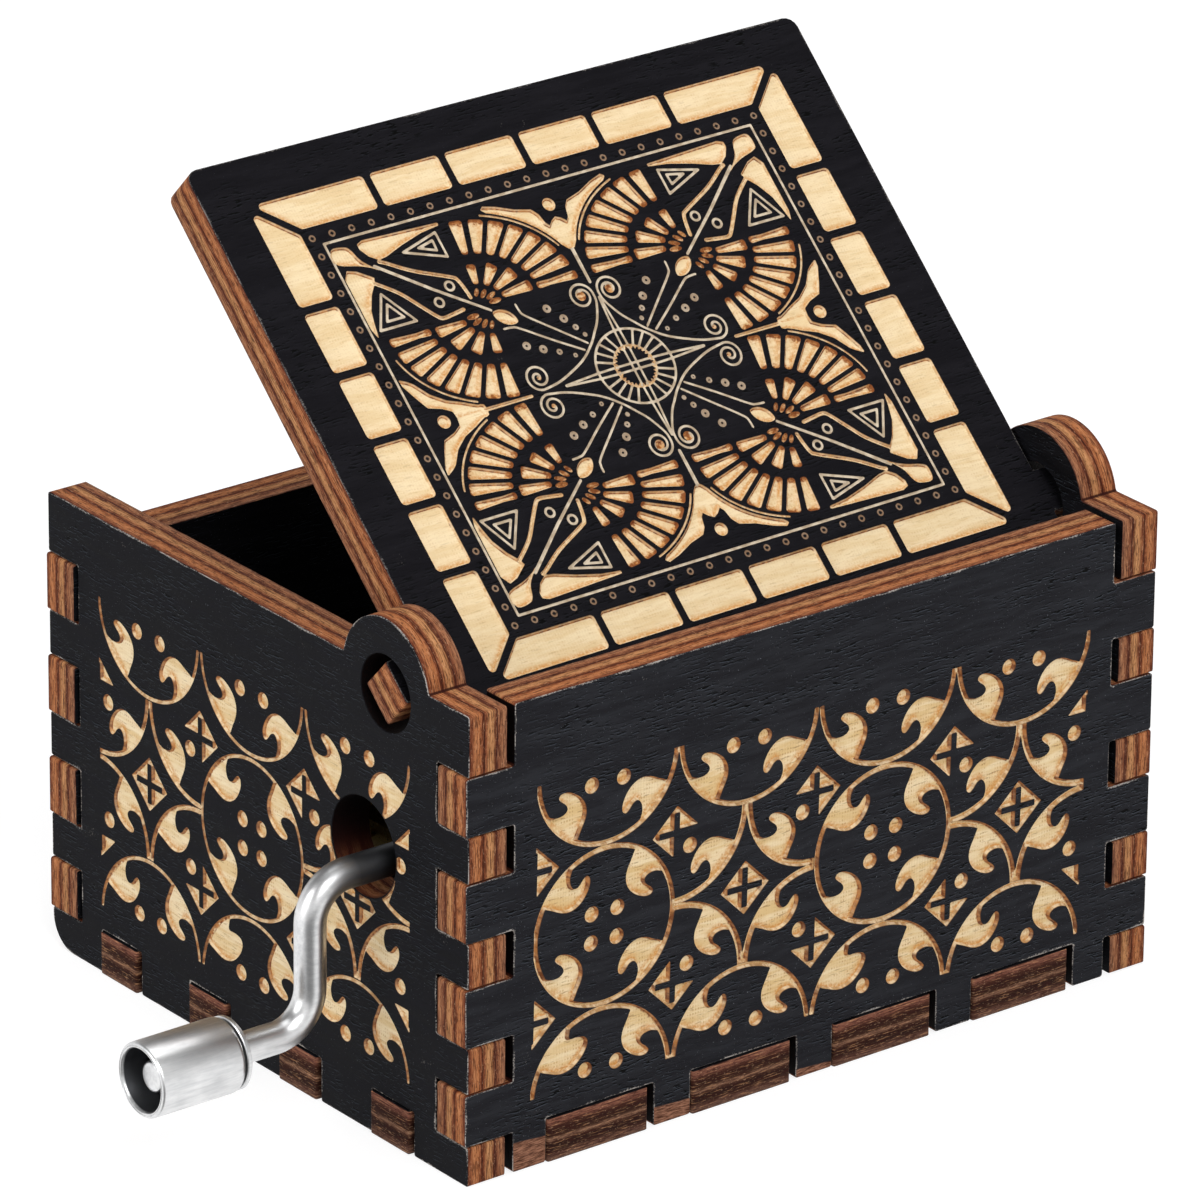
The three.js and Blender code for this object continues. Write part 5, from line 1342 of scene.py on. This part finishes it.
def swept(name, path):
    """A round wire: circles square to a path in the X-Z plane, with rounded edges at both ends.

    Each circle is centre + radius * (cos a * Y + sin a * (tangent x Y)). Over an end's last bit the
    radius falls by the rounding * (1 - cos b) as the circle moves out by it * sin b, to a flat.
    """
    tangent = np.gradient(path, axis=0)
    tangent /= np.linalg.norm(tangent, axis=1)[:, None]
    cosine, sine = circle(np.linspace(0, 90, 6)).T
    back = np.append(WIRE_END_ROUND * (1 - sine), 0.0)[:, None]
    cap = np.append(WIRE_RADIUS - WIRE_END_ROUND * (1 - cosine), 0.0)
    outer = (path[0] + tangent[0] * back)[::-1], path[-1] - tangent[-1] * back
    path = np.concatenate([outer[0], path[1:-1], outer[1]])
    tangent = np.concatenate([tangent[[0] * len(sine)], tangent, tangent[[-1] * len(sine)]])
    radii = np.concatenate([cap[::-1], np.full(len(path) - 2 * len(cap), WIRE_RADIUS), cap])
    cosine, sine = circle(CRANK_ANGLES)[..., None].swapaxes(0, 1)
    first = np.array([0.0, 1.0, 0.0])
    second = np.cross(tangent, first)
    ring = cosine * first + sine * second[:, None, :]
    shade = np.clip((path[:, 0] - SHADED_FROM) / SHADED_OVER, 0, 1)
    return grid_mesh(name, path[:, None, :] + radii[:, None, None] * ring, shade)


def turned(name, profile, shaded):
    """A turned part: its profile of (x, radius), taken round the handle's axis, closed on itself.

    Shaded tells for each x and radius of the profile how dark its metal is, from zero to one.
    """
    profile = np.asarray(profile, float)
    cosine, sine = circle(CRANK_ANGLES).T
    x = np.repeat(profile[:, :1], len(CRANK_ANGLES), 1)
    y, z = CRANK_Y + profile[:, 1:] * cosine, HANDLE_Z + profile[:, 1:] * sine
    return grid_mesh(name, np.stack([x, y, z], 2), shaded(*profile.T))


def flat_ring(low, high, radius, bevel):
    """The profile of a flat ring round the wire, with its outer edges bevelled."""
    across, down = bevel
    return [
        (low, WIRE_RADIUS), (low, radius - down), (low + across, radius), (high - across, radius),
        (high, radius - down), (high, WIRE_RADIUS), (low, WIRE_RADIUS),
    ]


def grid_mesh(name, grid, shade):
    """A mesh of the quads of a grid of points that closes round in its second direction."""
    rows, columns = grid.shape[:2]
    numbers = np.arange(rows * columns).reshape(rows, columns)
    after = np.roll(numbers, -1, 1)
    quads = np.stack([numbers[:-1], after[:-1], after[1:], numbers[1:]], 2).reshape(-1, 4)
    mesh = bpy.data.meshes.new(name)
    mesh.from_pydata((grid.reshape(-1, 3) * MM).tolist(), [], quads.tolist())
    values = np.repeat(shade, columns).astype(np.float32)
    mesh.attributes.new("shade", "FLOAT", "POINT").data.foreach_set("value", values)
    merged(mesh, 1e-3, outwards=True)
    return mesh


inner_x, outer_x = UPRIGHT_X + BEND_RADIUS, UPRIGHT_X - BEND_RADIUS
upper_z, lower_z = SHAFT_Z - BEND_RADIUS, HANDLE_Z + BEND_RADIUS
wire = np.concatenate([
    np.linspace((SHAFT_INNER_X, SHAFT_Z), (inner_x, SHAFT_Z), 20)[:-1],
    (inner_x, upper_z) + BEND_RADIUS * circle(np.linspace(90, 180, 14))[:-1],
    np.linspace((UPRIGHT_X, upper_z), (UPRIGHT_X, lower_z), 10)[:-1],
    (outer_x, lower_z) + BEND_RADIUS * circle(np.linspace(0, -90, 14))[:-1],
    np.linspace((outer_x, HANDLE_Z), (HANDLE_END_X, HANDLE_Z), 20),
])
wire = np.insert(wire, 1, CRANK_Y, axis=1)
crank_steel = metal("crank_steel", "c8c9ca", "efefef", (400, 3500, 3500), 0.33, 0.16, grain=1.2)
crank = finish_piece("crank_wire", swept("crank_wire", wire), "crank", [crank_steel], "crank_arm")
knob_profile = [
    (-52.33, 2.40), (-52.42, 2.42), (-52.5, 2.49), (-52.5, 2.55), (-52.44, 2.585), (-52.44, 2.615),
    (-52.5, 2.65), (-52.46, 2.76), (-52.38, 2.83), (-52.25, 2.86), (-45.55, 2.86), (-45.38, 2.83),
    (-45.25, 2.75), (-45.2, 2.6), (-45.2, 1.45), (-45.3, 1.36), (-49.4, 1.36), (-49.5, 1.45),
    (-49.5, 2.3), (-49.42, 2.375), (-52.25, 2.375), (-52.33, 2.40),
]
knob_mesh = turned("crank_knob", knob_profile, lambda x, radius: (radius < 2.39) & (x > -52.3))
knob = finish_piece("crank_knob", knob_mesh, "knob", [crank_steel], "knob")
collar_profile = flat_ring(-45.0, -44.6, 2.78, (0.07, 0.08))
collar_mesh = turned("crank_collar", collar_profile, lambda x, radius: np.zeros(len(x)))
collar = finish_piece("crank_collar", collar_mesh, "crank", [crank_steel], "knob_collar")
washer_profile = flat_ring(-50.3, -49.8, 2.05, (0.08, 0.1))
washer_mesh = turned("crank_washer", washer_profile, lambda x, radius: np.full(len(x), 0.5))
washer = finish_piece("crank_washer", washer_mesh, "crank", [crank_steel], "knob_washer")
